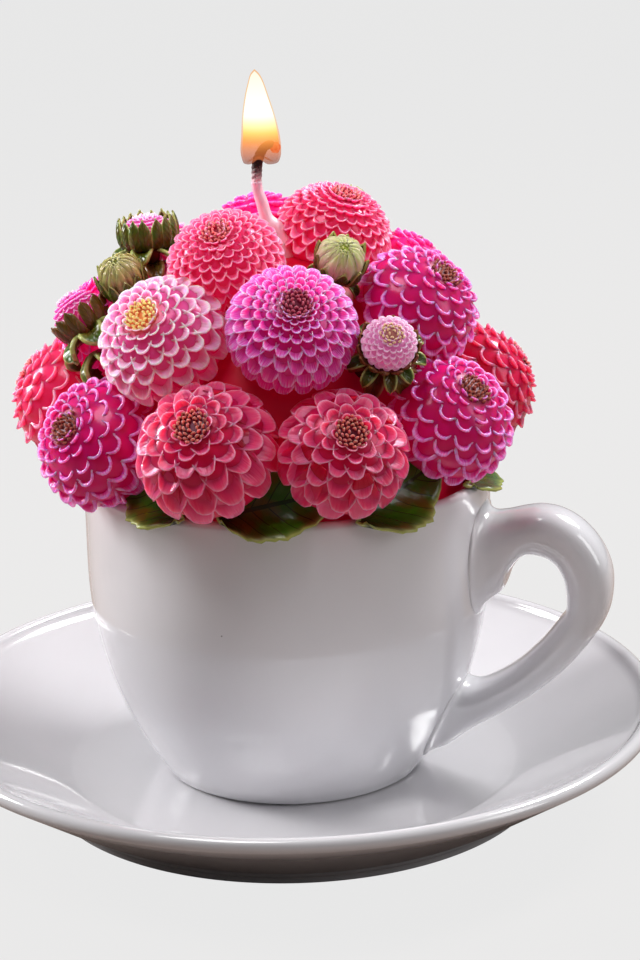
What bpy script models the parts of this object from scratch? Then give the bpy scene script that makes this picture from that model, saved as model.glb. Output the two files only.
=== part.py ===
"""Teacup candle: a porcelain cup and saucer, and a wax candle dressed as a dome of dahlias.

Metres, +Z up. The handle points to +X, and the origin lies on the table under the
middle of the saucer.
"""

import math

import bmesh
import bpy
from mathutils import Vector

# Clearance left between two pieces that touch
GAP = 0.0003

# Saucer
SAUCER_RADIUS = 0.0828
SAUCER_HEIGHT = 0.0218
SAUCER_LIP = 0.0034
SAUCER_FLOOR_TOP = 0.0057
SAUCER_FLAT_RADIUS = 0.0505
SAUCER_FOOT_RADIUS = 0.0565
SAUCER_FOOT_WIDTH = 0.0055
SAUCER_FOOT_HEIGHT = 0.0014
SAUCER_RECESS = 0.0019
SAUCER_DISH_POWER = 1.25
SAUCER_STEPS = 52

# Cup body
RIM_RADIUS = 0.0450
CUP_FOOT_RADIUS = 0.0297
CUP_HEIGHT = 0.0686
BELLY_HEIGHT = 0.0500
BELLY_POWER = 2.2
CUP_WALL = 0.0030
CUP_FLOOR = 0.0044
CUP_FOOT_WIDTH = 0.0045
CUP_FOOT_RECESS = 0.0018
CUP_STEPS = 40

# Cup handle
HANDLE_REACH = 0.0284
HANDLE_HEIGHT = 0.0600
HANDLE_DROP = 0.0053
HANDLE_HALF_WIDTH = 0.0064
HANDLE_SIDES = 12
HANDLE_SQUARENESS = 2.5

# Wax body inside the cup and the dome on it
WAX_DROP = 0.0022
DOME_LEDGE = 0.0050
DOME_RISE_SHARE = 1.1875
WAX_STEPS = 28

# Wick, its metal foot and the flame
TAB_RADIUS = 0.0080
TAB_THICKNESS = 0.0006
TAB_NECK_HEIGHT = 0.0060
TAB_NECK_WALL = 0.0006
TAB_STEPS = 12
WICK_RADIUS = 0.0010
WICK_WAXED_RADIUS = 0.0017
WICK_RISE = 0.0225
WICK_LEAN = 0.0050
WICK_LEAN_AZIMUTH = math.radians(198.0)
FLAME_HEIGHT = 0.0200
FLAME_RADIUS = 0.0041
FLAME_SINK = 0.0036
FLAME_LEAN_SHARE = 0.80
FLAME_STEPS = 12

# Dahlia heads, sized from the rim that they crowd over
HEAD_RIM_SHARE = 0.3222
HEAD_RISE_SHARE = 0.84
HEAD_SEAT_SHARE = 0.38
PETALS_IN_A_ROW = 11
LIP_ANGLES = (19.0, 44.0, 71.0, 99.0)
TUCK_ANGLE = 3.0
SCALLOP_ANGLE = 5.0
UNDERSIDE_ANGLE = 118.0
LIP_LIFT_SHARE = 0.03
NOTCH_DIP_SHARE = 0.05
TUCK_DIP_SHARE = 0.08
GROOVE_DIP_SHARE = 0.14
EYE_DIP_SHARE = 0.08
SKIRT_ANGLE = math.radians(20.0)
WICK_CLEARANCE = 0.0008

# Buds, sized from the rim too
BUD_RIM_SHARE = 0.1333
BUD_HEIGHT_SHARE = 2.92
CALYX_HEART_SHARE = 0.85
BALL_HEART_SHARE = 0.36
SEPALS = 6

# Leaves, sized from the rim too
LEAF_RIM_SHARE = 0.511
LEAF_WIDTH_SHARE = 0.652
LEAF_THICKNESS = 0.0009
LEAF_STALK_SHARE = 0.16
LEAF_RISE_SHARE = 0.35
LEAF_TOOTH_SHARES = (1.04, 0.92)
LEAF_BLUNTNESS = 0.8
LEAF_STEPS = 8

# Sizes and levels that follow from the ones above
CUP_BASE = SAUCER_FLOOR_TOP + GAP
RIM_TOP = CUP_BASE + CUP_HEIGHT
WAX_TOP = RIM_TOP - WAX_DROP
DOME_RADIUS = RIM_RADIUS - DOME_LEDGE
DOME_RISE = DOME_RISE_SHARE * DOME_RADIUS
DOME_CENTRE = Vector((0.0, 0.0, RIM_TOP))
DOME_TOP = RIM_TOP + DOME_RISE
CUP_INSIDE = CUP_BASE + CUP_FLOOR
HEAD_FLOOR = RIM_TOP + GAP + LEAF_THICKNESS + GAP
HEAD_RADIUS = HEAD_RIM_SHARE * RIM_RADIUS
HEAD_RISE = HEAD_RISE_SHARE * HEAD_RADIUS
HEAD_SEAT = HEAD_SEAT_SHARE * HEAD_RADIUS
BUD_RADIUS = BUD_RIM_SHARE * RIM_RADIUS
BUD_HEIGHT = BUD_HEIGHT_SHARE * BUD_RADIUS
LEAF_LENGTH = LEAF_RIM_SHARE * RIM_RADIUS
LEAF_WIDTH = LEAF_WIDTH_SHARE * LEAF_LENGTH

# Where the dahlias sit: name, azimuth and elevation of the seat, turn and elevation of
# the face, all in degrees, stand share of HEAD_SEAT, size share of HEAD_RADIUS, colour.
HEAD_SHARES = (
    ("dahlia_crown_front", -112.0, 63.0, 20.0, 56.0, 1.0, 0.88, "coral"),
    ("dahlia_crown_right", 40.0, 72.0, -60.0, 68.0, 1.0, 0.90, "coral"),
    ("dahlia_crown_back", 122.0, 62.0, 0.0, 64.0, 0.9, 0.86, "hot_pink"),
    ("dahlia_upper_front", -69.0, 41.5, 4.0, 42.0, 1.0, 0.97, "magenta"),
    ("dahlia_upper_left", -118.0, 36.5, 14.0, 41.0, 1.0, 0.99, "pale_pink"),
    ("dahlia_upper_right", -7.0, 42.0, -8.0, 48.0, 1.0, 0.95, "magenta"),
    ("dahlia_upper_back_right", 46.0, 44.0, 0.0, 50.0, 0.8, 0.88, "hot_pink"),
    ("dahlia_upper_back", 92.0, 42.0, 0.0, 47.0, 1.0, 0.97, "coral"),
    ("dahlia_upper_back_left", 137.0, 41.0, 0.0, 46.0, 1.0, 0.96, "pale_pink"),
    ("dahlia_behind_buds", 176.0, 49.0, 0.0, 52.0, 1.0, 0.84, "pale_pink"),
    ("dahlia_far_left", 198.0, 33.0, 0.0, 40.0, 1.3, 0.88, "magenta"),
    ("dahlia_lower_left", -134.0, 11.0, 15.0, 30.0, 1.0, 1.01, "magenta"),
    ("dahlia_lower_front_left", -93.5, 14.0, 2.0, 42.0, 1.0, 1.06, "coral"),
    ("dahlia_lower_front_right", -57.0, 13.5, -3.0, 39.0, 1.0, 0.97, "coral"),
    ("dahlia_lower_right", -20.0, 16.0, -9.0, 46.0, 1.0, 0.99, "magenta"),
    ("dahlia_lower_handle", 24.0, 16.0, 0.0, 30.0, 1.1, 0.96, "coral"),
    ("dahlia_lower_back_a", 60.0, 14.0, 0.0, 38.0, 1.0, 0.98, "pale_pink"),
    ("dahlia_lower_back_b", 95.0, 13.5, 0.0, 38.0, 1.0, 1.00, "magenta"),
    ("dahlia_lower_back_c", 129.0, 14.0, 0.0, 38.0, 1.0, 0.97, "coral"),
    ("dahlia_lower_back_d", 161.0, 13.5, 0.0, 38.0, 1.0, 0.97, "magenta"),
    ("dahlia_lower_far_left", 196.0, 15.0, 0.0, 32.0, 1.8, 0.97, "coral"),
)

# Where the buds stand: name, azimuth and elevation of the stem's foot, turn and elevation
# of the bud, height share of BUD_HEIGHT, girth share of BUD_RADIUS, share of the height
# that is calyx, colour.
BUD_SHARES = (
    ("bud_tall", -166.0, 52.0, 0.0, 62.0, 1.10, 0.95, 0.72, "mauve"),
    ("bud_closed", -143.0, 44.0, -10.0, 46.0, 1.00, 0.90, 0.70, "cream"),
    ("bud_left", -150.0, 28.0, -20.0, 36.0, 1.06, 1.00, 0.62, "mauve"),
    ("bud_cream", -47.0, 58.0, 0.0, 58.0, 1.00, 0.95, 0.62, "cream"),
    ("bud_lilac", -42.0, 32.0, 0.0, 34.0, 1.04, 1.03, 0.56, "mauve"),
    ("bud_back", 113.0, 31.0, 0.0, 31.0, 1.00, 1.00, 0.60, "mauve"),
    ("bud_back_right", 68.0, 61.0, 0.0, 61.0, 1.00, 0.95, 0.66, "cream"),
)

# Where the leaves lie on the rim: name, azimuth, heading of the tip from the rim's
# tangent, tilt of the blade, in degrees, length share of LEAF_LENGTH.
LEAF_SHARES = (
    ("leaf_front_left", -114.0, -20.0, 70.0, 0.90),
    ("leaf_front", -75.0, 12.0, 70.0, 1.05),
    ("leaf_front_right", -38.0, 20.0, 70.0, 1.12),
    ("leaf_handle", 2.0, 12.0, 70.0, 0.95),
    ("leaf_back_a", 42.0, -15.0, 70.0, 1.00),
    ("leaf_back_b", 77.5, 10.0, 70.0, 0.95),
    ("leaf_back_c", 112.0, -12.0, 70.0, 1.00),
    ("leaf_back_d", 145.0, 14.0, 70.0, 0.95),
    ("leaf_far_left", 179.0, -8.0, 70.0, 0.95),
)

# Base colour, roughness and metallic value of each finish
FINISHES = {
    "porcelain": ((0.90, 0.90, 0.93), 0.08, 0.0),
    "core_wax": ((0.45, 0.03, 0.12), 0.35, 0.0),
    "coral": ((0.80, 0.07, 0.12), 0.30, 0.0),
    "magenta": ((0.75, 0.05, 0.35), 0.30, 0.0),
    "hot_pink": ((0.80, 0.10, 0.38), 0.30, 0.0),
    "pale_pink": ((0.85, 0.30, 0.45), 0.30, 0.0),
    "mauve": ((0.62, 0.30, 0.55), 0.35, 0.0),
    "cream": ((0.75, 0.75, 0.40), 0.35, 0.0),
    "leaf_green": ((0.07, 0.16, 0.02), 0.35, 0.0),
    "bud_green": ((0.10, 0.12, 0.03), 0.40, 0.0),
    "wick": ((0.02, 0.015, 0.012), 0.90, 0.0),
    "tin": ((0.70, 0.70, 0.70), 0.35, 1.0),
    "flame": ((1.00, 0.62, 0.15), 0.50, 0.0),
}


def clear_scene():
    """Start from an empty scene."""
    for old in list(bpy.data.objects):
        bpy.data.objects.remove(old, do_unlink=True)


def new_collection(name):
    """A named collection in the scene."""
    group = bpy.data.collections.new(name)
    bpy.context.scene.collection.children.link(group)
    return group


def finish_material(name):
    """The Principled material of one finish, made once."""
    if name in bpy.data.materials:
        return bpy.data.materials[name]
    colour, roughness, metallic = FINISHES[name]
    material = bpy.data.materials.new(name)
    material.use_nodes = True
    shader = material.node_tree.nodes["Principled BSDF"]
    shader.inputs["Base Color"].default_value = (*colour, 1.0)
    shader.inputs["Roughness"].default_value = roughness
    shader.inputs["Metallic"].default_value = metallic
    return material


def place_object(name, mesh, group, finish):
    """An object of the candle with its own finish."""
    body = bpy.data.objects.new(name, mesh)
    group.objects.link(body)
    mesh.materials.append(finish_material(finish))
    mesh.shade_smooth()
    mesh.set_sharp_from_angle(angle=math.radians(40.0))
    return body


def mesh_from(name, bm):
    """Turn a bmesh into a mesh."""
    mesh = bpy.data.meshes.new(name)
    bm.to_mesh(mesh)
    bm.free()
    return mesh


def turned(name, outline, steps, group, finish):
    """Spin an outline of (radius, height) points about +Z with a Screw."""
    mesh = bpy.data.meshes.new(name)
    points = [(radius, 0.0, height) for radius, height in outline]
    edges = [(i, i + 1) for i in range(len(points) - 1)]
    mesh.from_pydata(points, edges, [])
    body = bpy.data.objects.new(name, mesh)
    group.objects.link(body)
    mesh.materials.append(finish_material(finish))
    screw = body.modifiers.new("spin", "SCREW")
    screw.steps = steps
    screw.render_steps = steps
    screw.use_merge_vertices = True
    screw.merge_threshold = GAP / 10
    screw.use_smooth_shade = True
    return body


def as_guide(body):
    """Mark an object as a guide or cutter that is not part of the candle."""
    body.hide_render = True
    body.display_type = "WIRE"
    return body


def combine(body, other, operation):
    """Cut or join one object with another."""
    step = body.modifiers.new(operation.lower(), "BOOLEAN")
    step.operation = operation
    step.object = other
    step.solver = "EXACT"


def arc(centre, radii, start, stop, count):
    """Points of an elliptical arc in the plane of a turned outline, angles in degrees."""
    points = []
    for i in range(count):
        angle = math.radians(start + (stop - start) * i / (count - 1))
        points.append((centre[0] + radii[0] * math.cos(angle),
                       centre[1] + radii[1] * math.sin(angle)))
    return points


# Saucer

def saucer_outline():
    """Down from the middle of the floor, out over the rim and back under the foot."""
    lip = SAUCER_LIP / 2
    lip_radius = SAUCER_RADIUS - lip
    lip_height = SAUCER_HEIGHT - lip
    inner = SAUCER_RADIUS - SAUCER_LIP
    points = [(0.0, SAUCER_FLOOR_TOP)]
    for share in (0.0, 0.16, 0.34, 0.54, 0.76, 0.94):
        radius = SAUCER_FLAT_RADIUS + share * (inner - SAUCER_FLAT_RADIUS)
        rise = (lip_height - SAUCER_FLOOR_TOP) * share ** SAUCER_DISH_POWER
        points.append((radius, SAUCER_FLOOR_TOP + rise))
    points += arc((lip_radius, lip_height), (lip, lip), 150.0, -40.0, 6)
    points += [(SAUCER_FOOT_RADIUS, SAUCER_FOOT_HEIGHT),
               (SAUCER_FOOT_RADIUS, 0.0),
               (SAUCER_FOOT_RADIUS - SAUCER_FOOT_WIDTH, 0.0),
               (SAUCER_FOOT_RADIUS - SAUCER_FOOT_WIDTH, SAUCER_RECESS),
               (0.0, SAUCER_RECESS)]
    return points


# Cup

def cup_radius(height):
    """Outer radius of the cup at a height above the table."""
    share = min(max((height - CUP_BASE) / BELLY_HEIGHT, 0.0), 1.0)
    return RIM_RADIUS - (RIM_RADIUS - CUP_FOOT_RADIUS) * (1.0 - share) ** BELLY_POWER


def cup_outline():
    """Up the inside wall, over the rounded lip, down the outside and under the foot."""
    lip = CUP_WALL / 2
    points = [(0.0, CUP_INSIDE)]
    inside_height = RIM_TOP - lip - CUP_INSIDE
    for share in (0.0, 0.06, 0.16, 0.30, 0.50, 0.72):
        height = CUP_INSIDE + share * inside_height
        points.append((cup_radius(height) - CUP_WALL, height))
    points += arc((RIM_RADIUS - lip, RIM_TOP - lip), (lip, lip), 180.0, 0.0, 6)
    outside_height = RIM_TOP - lip - CUP_BASE
    for share in (0.72, 0.56, 0.42, 0.30, 0.19, 0.09, 0.0):
        height = CUP_BASE + share * outside_height
        points.append((cup_radius(height), height))
    points += [(CUP_FOOT_RADIUS - CUP_FOOT_WIDTH, CUP_BASE),
               (CUP_FOOT_RADIUS - CUP_FOOT_WIDTH, CUP_BASE + CUP_FOOT_RECESS),
               (0.0, CUP_BASE + CUP_FOOT_RECESS)]
    return points


# Stations along the handle, from its upper root round to its lower root. Each has the
# outer edge and the inner edge as (share of HANDLE_REACH out from the cup's wall, share
# of HANDLE_HEIGHT), then a share of HANDLE_HALF_WIDTH.
HANDLE_SHARES = (
    ((0.04, 0.963), (0.01, 0.626), 1.26),
    ((0.18, 0.975), (0.148, 0.671), 1.08),
    ((0.30, 0.990), (0.211, 0.752), 1.00),
    ((0.44, 1.000), (0.317, 0.814), 1.00),
    ((0.60, 0.988), (0.458, 0.817), 1.00),
    ((0.757, 0.947), (0.560, 0.792), 1.00),
    ((0.891, 0.880), (0.620, 0.747), 1.00),
    ((0.979, 0.794), (0.648, 0.702), 1.00),
    ((1.000, 0.702), (0.660, 0.659), 1.00),
    ((0.977, 0.607), (0.658, 0.617), 1.00),
    ((0.890, 0.507), (0.602, 0.571), 1.00),
    ((0.751, 0.391), (0.496, 0.488), 1.00),
    ((0.588, 0.291), (0.344, 0.394), 1.00),
    ((0.398, 0.201), (0.161, 0.321), 1.00),
    ((0.227, 0.125), (0.030, 0.300), 1.06),
    ((0.100, 0.048), (0.000, 0.295), 1.18),
)


def handle_point(share, height_share):
    """A point of the handle's edge, in the plane of the handle."""
    height = RIM_TOP - HANDLE_DROP - HANDLE_HEIGHT * (1.0 - height_share)
    return Vector((cup_radius(height) + share * HANDLE_REACH, 0.0, height))


def sunk_in_wall(point):
    """The point of a handle's end that is half-way into the cup's wall."""
    return Vector((cup_radius(point.z) - CUP_WALL / 2, 0.0, point.z))


def handle_sections():
    """Edges and half width of each section, with both ends let into the wall."""
    sections = []
    for outer, inner, width_share in HANDLE_SHARES:
        sections.append((handle_point(*outer), handle_point(*inner), width_share * HANDLE_HALF_WIDTH))
    first = sections[0]
    last = sections[-1]
    sections.insert(0, (sunk_in_wall(first[0]), sunk_in_wall(first[1]), first[2]))
    sections.append((sunk_in_wall(last[0]), sunk_in_wall(last[1]), last[2]))
    return sections


def squared_circle(angle):
    """A unit point on a rounded square, for a strap with soft corners."""
    power = 2.0 / HANDLE_SQUARENESS
    across = math.copysign(abs(math.cos(angle)) ** power, math.cos(angle))
    along = math.copysign(abs(math.sin(angle)) ** power, math.sin(angle))
    return across, along


def make_handle(group):
    """Loft the strap through its sections. They are unlike, so the faces are built here."""
    bm = bmesh.new()
    rings = []
    for outer, inner, half_width in handle_sections():
        middle = (outer + inner) / 2
        half = (outer - inner) / 2
        ring = []
        for side in range(HANDLE_SIDES):
            across, along = squared_circle(math.tau * side / HANDLE_SIDES)
            ring.append(bm.verts.new(middle + half * across + Vector((0.0, half_width * along, 0.0))))
        rings.append(ring)
    for near, far in zip(rings, rings[1:]):
        for side in range(HANDLE_SIDES):
            after = (side + 1) % HANDLE_SIDES
            bm.faces.new((near[side], near[after], far[after], far[side]))
    bm.faces.new(rings[0])
    bm.faces.new(rings[-1])
    bmesh.ops.recalc_face_normals(bm, faces=bm.faces)
    mesh = mesh_from("handle_loft", bm)
    mesh.shade_smooth()
    handle = bpy.data.objects.new("handle_loft", mesh)
    group.objects.link(handle)
    return as_guide(handle)


# Wax body

def wax_outline():
    """The wax: the dome from its crown, a ledge below the rim, and the inside of the cup."""
    fit = CUP_WALL + GAP
    points = arc((0.0, DOME_CENTRE.z), (DOME_RADIUS, DOME_RISE), 90.0, 0.0, 8)
    points[0] = (0.0, DOME_TOP)
    points.append((DOME_RADIUS, WAX_TOP))
    bottom = CUP_INSIDE + GAP
    for share in (1.0, 0.72, 0.45, 0.22, 0.08, 0.0):
        height = bottom + share * (WAX_TOP - bottom)
        points.append((cup_radius(height) - fit, height))
    points.append((0.0, bottom))
    return points


def make_wax_cutter(group):
    """The channel of the wick with the pocket of its metal foot, as one turned cutter."""
    channel = WICK_WAXED_RADIUS + GAP
    neck = WICK_WAXED_RADIUS + GAP + TAB_NECK_WALL + GAP
    disc_top = CUP_INSIDE + GAP + TAB_THICKNESS + GAP
    neck_top = CUP_INSIDE + GAP + TAB_NECK_HEIGHT + GAP
    below = CUP_INSIDE - CUP_FLOOR
    above = DOME_TOP + CUP_FLOOR
    outline = [(0.0, above), (channel, above), (channel, neck_top), (neck, neck_top),
               (neck, disc_top), (TAB_RADIUS + GAP, disc_top), (TAB_RADIUS + GAP, below),
               (0.0, below)]
    return as_guide(turned("wick_channel", outline, TAB_STEPS, group, "tin"))


# Wick, sustainer and flame

def tab_outline():
    """A flat disc with a raised neck, with the wick's bore through both."""
    bore = WICK_WAXED_RADIUS + GAP
    base = CUP_INSIDE + GAP
    disc_top = base + TAB_THICKNESS
    neck_top = base + TAB_NECK_HEIGHT
    return [(bore, neck_top), (bore + TAB_NECK_WALL, neck_top), (bore + TAB_NECK_WALL, disc_top),
            (TAB_RADIUS, disc_top), (TAB_RADIUS, base), (bore, base), (bore, neck_top)]


# Points of the wick above the wax: share of WICK_LEAN, share of WICK_RISE, and a radius
# share of WICK_RADIUS
WICK_SHARES = (
    (0.00, 0.10, 1.70),
    (0.22, 0.26, 1.55),
    (0.55, 0.40, 1.20),
    (0.80, 0.52, 1.00),
    (0.98, 0.66, 1.00),
    (0.98, 0.80, 1.00),
    (0.78, 0.90, 1.10),
    (0.42, 0.985, 1.05),
)


def lean_direction():
    """The level direction in which the wick leans."""
    return Vector((math.cos(WICK_LEAN_AZIMUTH), math.sin(WICK_LEAN_AZIMUTH), 0.0))


def wick_points():
    """Route of the wick from the cup's floor to its tip, with a radius at each point."""
    start = CUP_INSIDE + GAP
    points = [(Vector((0.0, 0.0, start)), WICK_WAXED_RADIUS),
              (Vector((0.0, 0.0, DOME_TOP)), WICK_WAXED_RADIUS)]
    for lean, rise, girth in WICK_SHARES:
        place = lean_direction() * lean * WICK_LEAN
        place.z = DOME_TOP + rise * WICK_RISE
        points.append((place, girth * WICK_RADIUS))
    return points


def wick_tube(name, route, spare):
    """A round tube along a route, thicker all round by the spare, as a mesh."""
    curve = bpy.data.curves.new(name, "CURVE")
    curve.dimensions = "3D"
    curve.bevel_depth = WICK_RADIUS
    curve.bevel_resolution = 2
    curve.use_fill_caps = True
    line = curve.splines.new("POLY")
    line.points.add(len(route) - 1)
    for point, (place, radius) in zip(line.points, route):
        point.co = (*place, 1.0)
        point.radius = (radius + spare) / WICK_RADIUS
    rail = bpy.data.objects.new(name, curve)
    bpy.context.scene.collection.objects.link(rail)
    bpy.context.view_layer.update()
    evaluated = rail.evaluated_get(bpy.context.evaluated_depsgraph_get())
    mesh = bpy.data.meshes.new_from_object(evaluated)
    bpy.data.objects.remove(rail)
    bm = bmesh.new()
    bm.from_mesh(mesh)
    bmesh.ops.remove_doubles(bm, verts=bm.verts, dist=GAP / 10)
    bm.to_mesh(mesh)
    bm.free()
    return mesh


# Outline of the flame: share of FLAME_RADIUS, share of FLAME_HEIGHT
FLAME_SHARES = ((0.0, 1.0), (0.16, 0.90), (0.40, 0.72), (0.72, 0.50), (0.94, 0.32),
                (1.0, 0.20), (0.86, 0.08), (0.52, 0.01), (0.0, 0.0))


def make_flame(group, cutters):
    """A drop of flame, hollowed where the wick's tip burns inside it."""
    base = DOME_TOP + WICK_RISE - FLAME_SINK
    centre = lean_direction() * WICK_LEAN * FLAME_LEAN_SHARE
    outline = []
    for radius_share, height_share in FLAME_SHARES:
        outline.append((radius_share * FLAME_RADIUS, base + height_share * FLAME_HEIGHT))
    flame = turned("flame", outline, FLAME_STEPS, group, "flame")
    flame.location = (centre.x, centre.y, 0.0)
    route = wick_points()
    step = (route[-1][0] - route[-2][0]).normalized()
    route[-1] = (route[-1][0] + step * GAP, route[-1][1])
    cutter = bpy.data.objects.new("flame_hollow", wick_tube("flame_hollow", route, GAP))
    cutters.objects.link(cutter)
    combine(flame, as_guide(cutter), "DIFFERENCE")
    return flame


# Flowers share the dome by flat boundaries, so no head can reach into another

def direction(azimuth, elevation):
    """Unit direction of an azimuth and elevation given in degrees."""
    level = math.cos(math.radians(elevation))
    return Vector((level * math.cos(math.radians(azimuth)),
                   level * math.sin(math.radians(azimuth)),
                   math.sin(math.radians(elevation))))


def dome_reach(axis):
    """How far the dome reaches from its centre along an axis."""
    level = DOME_RADIUS * math.hypot(axis.x, axis.y)
    return math.hypot(level, DOME_RISE * axis.z)


def dome_seat(axis):
    """The point of the dome where its surface faces along an axis."""
    reach = dome_reach(axis)
    return DOME_CENTRE + Vector((DOME_RADIUS ** 2 * axis.x / reach,
                                 DOME_RADIUS ** 2 * axis.y / reach,
                                 DOME_RISE ** 2 * axis.z / reach))


class Site:
    """A place on the dome that one flower or bud fills."""

    def __init__(self, name, azimuth, elevation, face):
        self.name = name
        self.axis = direction(azimuth, elevation)
        self.face = face
        self.seat = dome_seat(self.axis)
        self.radius = 0.0
        self.centre = self.seat
        self.bounds = []

    def bound(self, normal, offset):
        """Keep to the side of a plane where normal . point is at most the offset."""
        self.bounds.append((normal, offset))

    def share_with(self, other):
        """Stop at the plane between two neighbours, half a gap short of it."""
        line = other.centre - self.centre
        normal = line.normalized()
        reach = line.length * self.radius / (self.radius + other.radius)
        self.bound(normal, normal.dot(self.centre) + reach - GAP / 2)

    def rest_on_candle(self):
        """Stay off the dome, off the leaves on the rim and off the wick."""
        self.bound(-self.axis, -(self.axis.dot(self.seat) + GAP))
        level = Vector((self.axis.x, self.axis.y, 0.0)).normalized()
        self.bound(-level, -(WICK_WAXED_RADIUS + WICK_CLEARANCE))
        over_rim = level * RIM_RADIUS
        over_rim.z = HEAD_FLOOR
        down = -level * math.sin(SKIRT_ANGLE)
        down.z = -math.cos(SKIRT_ANGLE)
        self.bound(down, down.dot(over_rim))

    def held(self, point, centre):
        """Draw a point back towards a centre until it is inside every boundary."""
        ray = point - centre
        reach = 1.0
        for normal, offset in self.bounds:
            climb = normal.dot(ray)
            if climb > 0.0:
                reach = min(reach, (offset - normal.dot(centre)) / climb)
        return centre + ray * reach


def plan_sites():
    """Every head and bud with its boundaries."""
    sites = {}
    for name, azimuth, elevation, turn, tilt, stand_share, size_share, _ in HEAD_SHARES:
        site = Site(name, azimuth, elevation, direction(azimuth + turn, tilt))
        site.radius = size_share * HEAD_RADIUS
        site.centre = site.seat + site.axis * stand_share * HEAD_SEAT
        sites[name] = site
    for name, azimuth, elevation, turn, tilt, height_share, girth_share, calyx_share, _ in BUD_SHARES:
        site = Site(name, azimuth, elevation, direction(azimuth + turn, tilt))
        site.radius = girth_share * BUD_RADIUS
        site.centre = site.seat + site.face * height_share * calyx_share * BUD_HEIGHT
        sites[name] = site
    for site in sites.values():
        for other in sites.values():
            if other is not site:
                site.share_with(other)
        site.rest_on_candle()
    return sites


def ring_places(bm, rings, columns):
    """Ring and column number of each vertex of a new UV sphere, top ring first."""
    places = {}
    for vertex in bm.verts:
        polar = math.acos(max(-1.0, min(1.0, vertex.co.z)))
        ring = round(polar / math.pi * rings)
        column = round(math.atan2(vertex.co.y, vertex.co.x) / math.tau * columns) % columns
        places[vertex] = (ring, column)
    return places


def across_axis(axis):
    """Two level directions square to a head's axis."""
    side = axis.cross(Vector((0.0, 0.0, 1.0))).normalized()
    return side, axis.cross(side)


# Dahlia heads

def petal_rings():
    """Rings of a head from the eye to the underside: polar angle, kind and row."""
    rings = []
    for row, angle in enumerate(LIP_ANGLES):
        rings.append((angle, "lip", row))
        rings.append((angle + TUCK_ANGLE, "tuck", row))
    rings.append((UNDERSIDE_ANGLE, "under", len(LIP_ANGLES)))
    return rings


def petal_place(ring, column):
    """Polar angle, and share of the head's size, of a ring at a petal's tip or notch."""
    angle, kind, row = ring
    if kind == "under":
        return angle, 1.0 - NOTCH_DIP_SHARE
    at_tip = (row + column) % 2 == 0
    angle += SCALLOP_ANGLE if at_tip else -SCALLOP_ANGLE
    if kind == "tuck":
        return angle, 1.0 - (GROOVE_DIP_SHARE if at_tip else TUCK_DIP_SHARE)
    return angle, 1.0 + LIP_LIFT_SHARE if at_tip else 1.0 - NOTCH_DIP_SHARE


def crease_petals(bm, places):
    """Split each four-sided face at the petal's tip, so both halves of a petal match."""
    for face in list(bm.faces):
        corners = list(face.verts)
        if len(corners) != 4:
            continue
        for i, corner in enumerate(corners):
            ring, column = places[corner]
            if ring % 2 == 1 and (ring // 2 + column) % 2 == 0:
                bmesh.ops.connect_verts(bm, verts=[corner, corners[(i + 2) % 4]])
                break


def make_head(site, finish, group):
    """Cupped petals in staggered rows, each lip raised over the row below it."""
    rings = petal_rings()
    columns = 2 * PETALS_IN_A_ROW
    rise = HEAD_RISE * site.radius / HEAD_RADIUS
    side, up = across_axis(site.face)
    bm = bmesh.new()
    bmesh.ops.create_uvsphere(bm, u_segments=columns, v_segments=len(rings) + 1, radius=1.0)
    places = ring_places(bm, len(rings) + 1, columns)
    crease_petals(bm, places)
    for vertex, (ring, column) in places.items():
        if ring == 0:
            point = site.centre + site.face * rise * (1.0 - EYE_DIP_SHARE)
        elif ring == len(rings) + 1:
            point = site.centre - site.face * rise
        else:
            angle, reach = petal_place(rings[ring - 1], column)
            polar = math.radians(angle)
            turn = math.tau * column / columns
            level = side * math.cos(turn) + up * math.sin(turn)
            point = site.centre + level * site.radius * reach * math.sin(polar)
            point += site.face * rise * reach * math.cos(polar)
        vertex.co = site.held(point, site.centre)
    return place_object(site.name, mesh_from(site.name, bm), group, finish)


# Buds

def lathed_bud(name, site, centre, rings, columns, group, finish):
    """A small turned form with a wavy edge: rings of (radius at tips, at notches, height)."""
    side, up = across_axis(site.face)
    bm = bmesh.new()
    last = len(rings) - 1
    bmesh.ops.create_uvsphere(bm, u_segments=columns, v_segments=last, radius=1.0)
    for vertex, (ring, column) in ring_places(bm, last, columns).items():
        at_tip, at_notch, height = rings[ring]
        radius = at_tip if column % 2 == 0 else at_notch
        turn = math.tau * column / columns
        level = side * math.cos(turn) + up * math.sin(turn)
        point = site.seat + site.face * height + level * radius
        vertex.co = site.held(point, centre)
    return place_object(name, mesh_from(name, bm), group, finish)


# Rings of the calyx, top to stem: shares of the bud's girth at a sepal's tip and between
# two sepals, and a share of the calyx's height
CALYX_SHARES = ((0.0, 0.0, 1.0), (0.86, 0.74, 1.0), (1.18, 0.84, 0.84), (0.98, 0.78, 0.56),
                (0.62, 0.54, 0.34), (0.36, 0.36, 0.0), (0.0, 0.0, 0.0))

# Rings of the ball of young petals, given in the same way over the height above the calyx
BALL_SHARES = ((0.0, 0.0, 1.0), (0.40, 0.32, 0.96), (0.74, 0.84, 0.72), (1.00, 0.90, 0.36),
               (0.70, 0.70, 0.0), (0.0, 0.0, 0.0))


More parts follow.
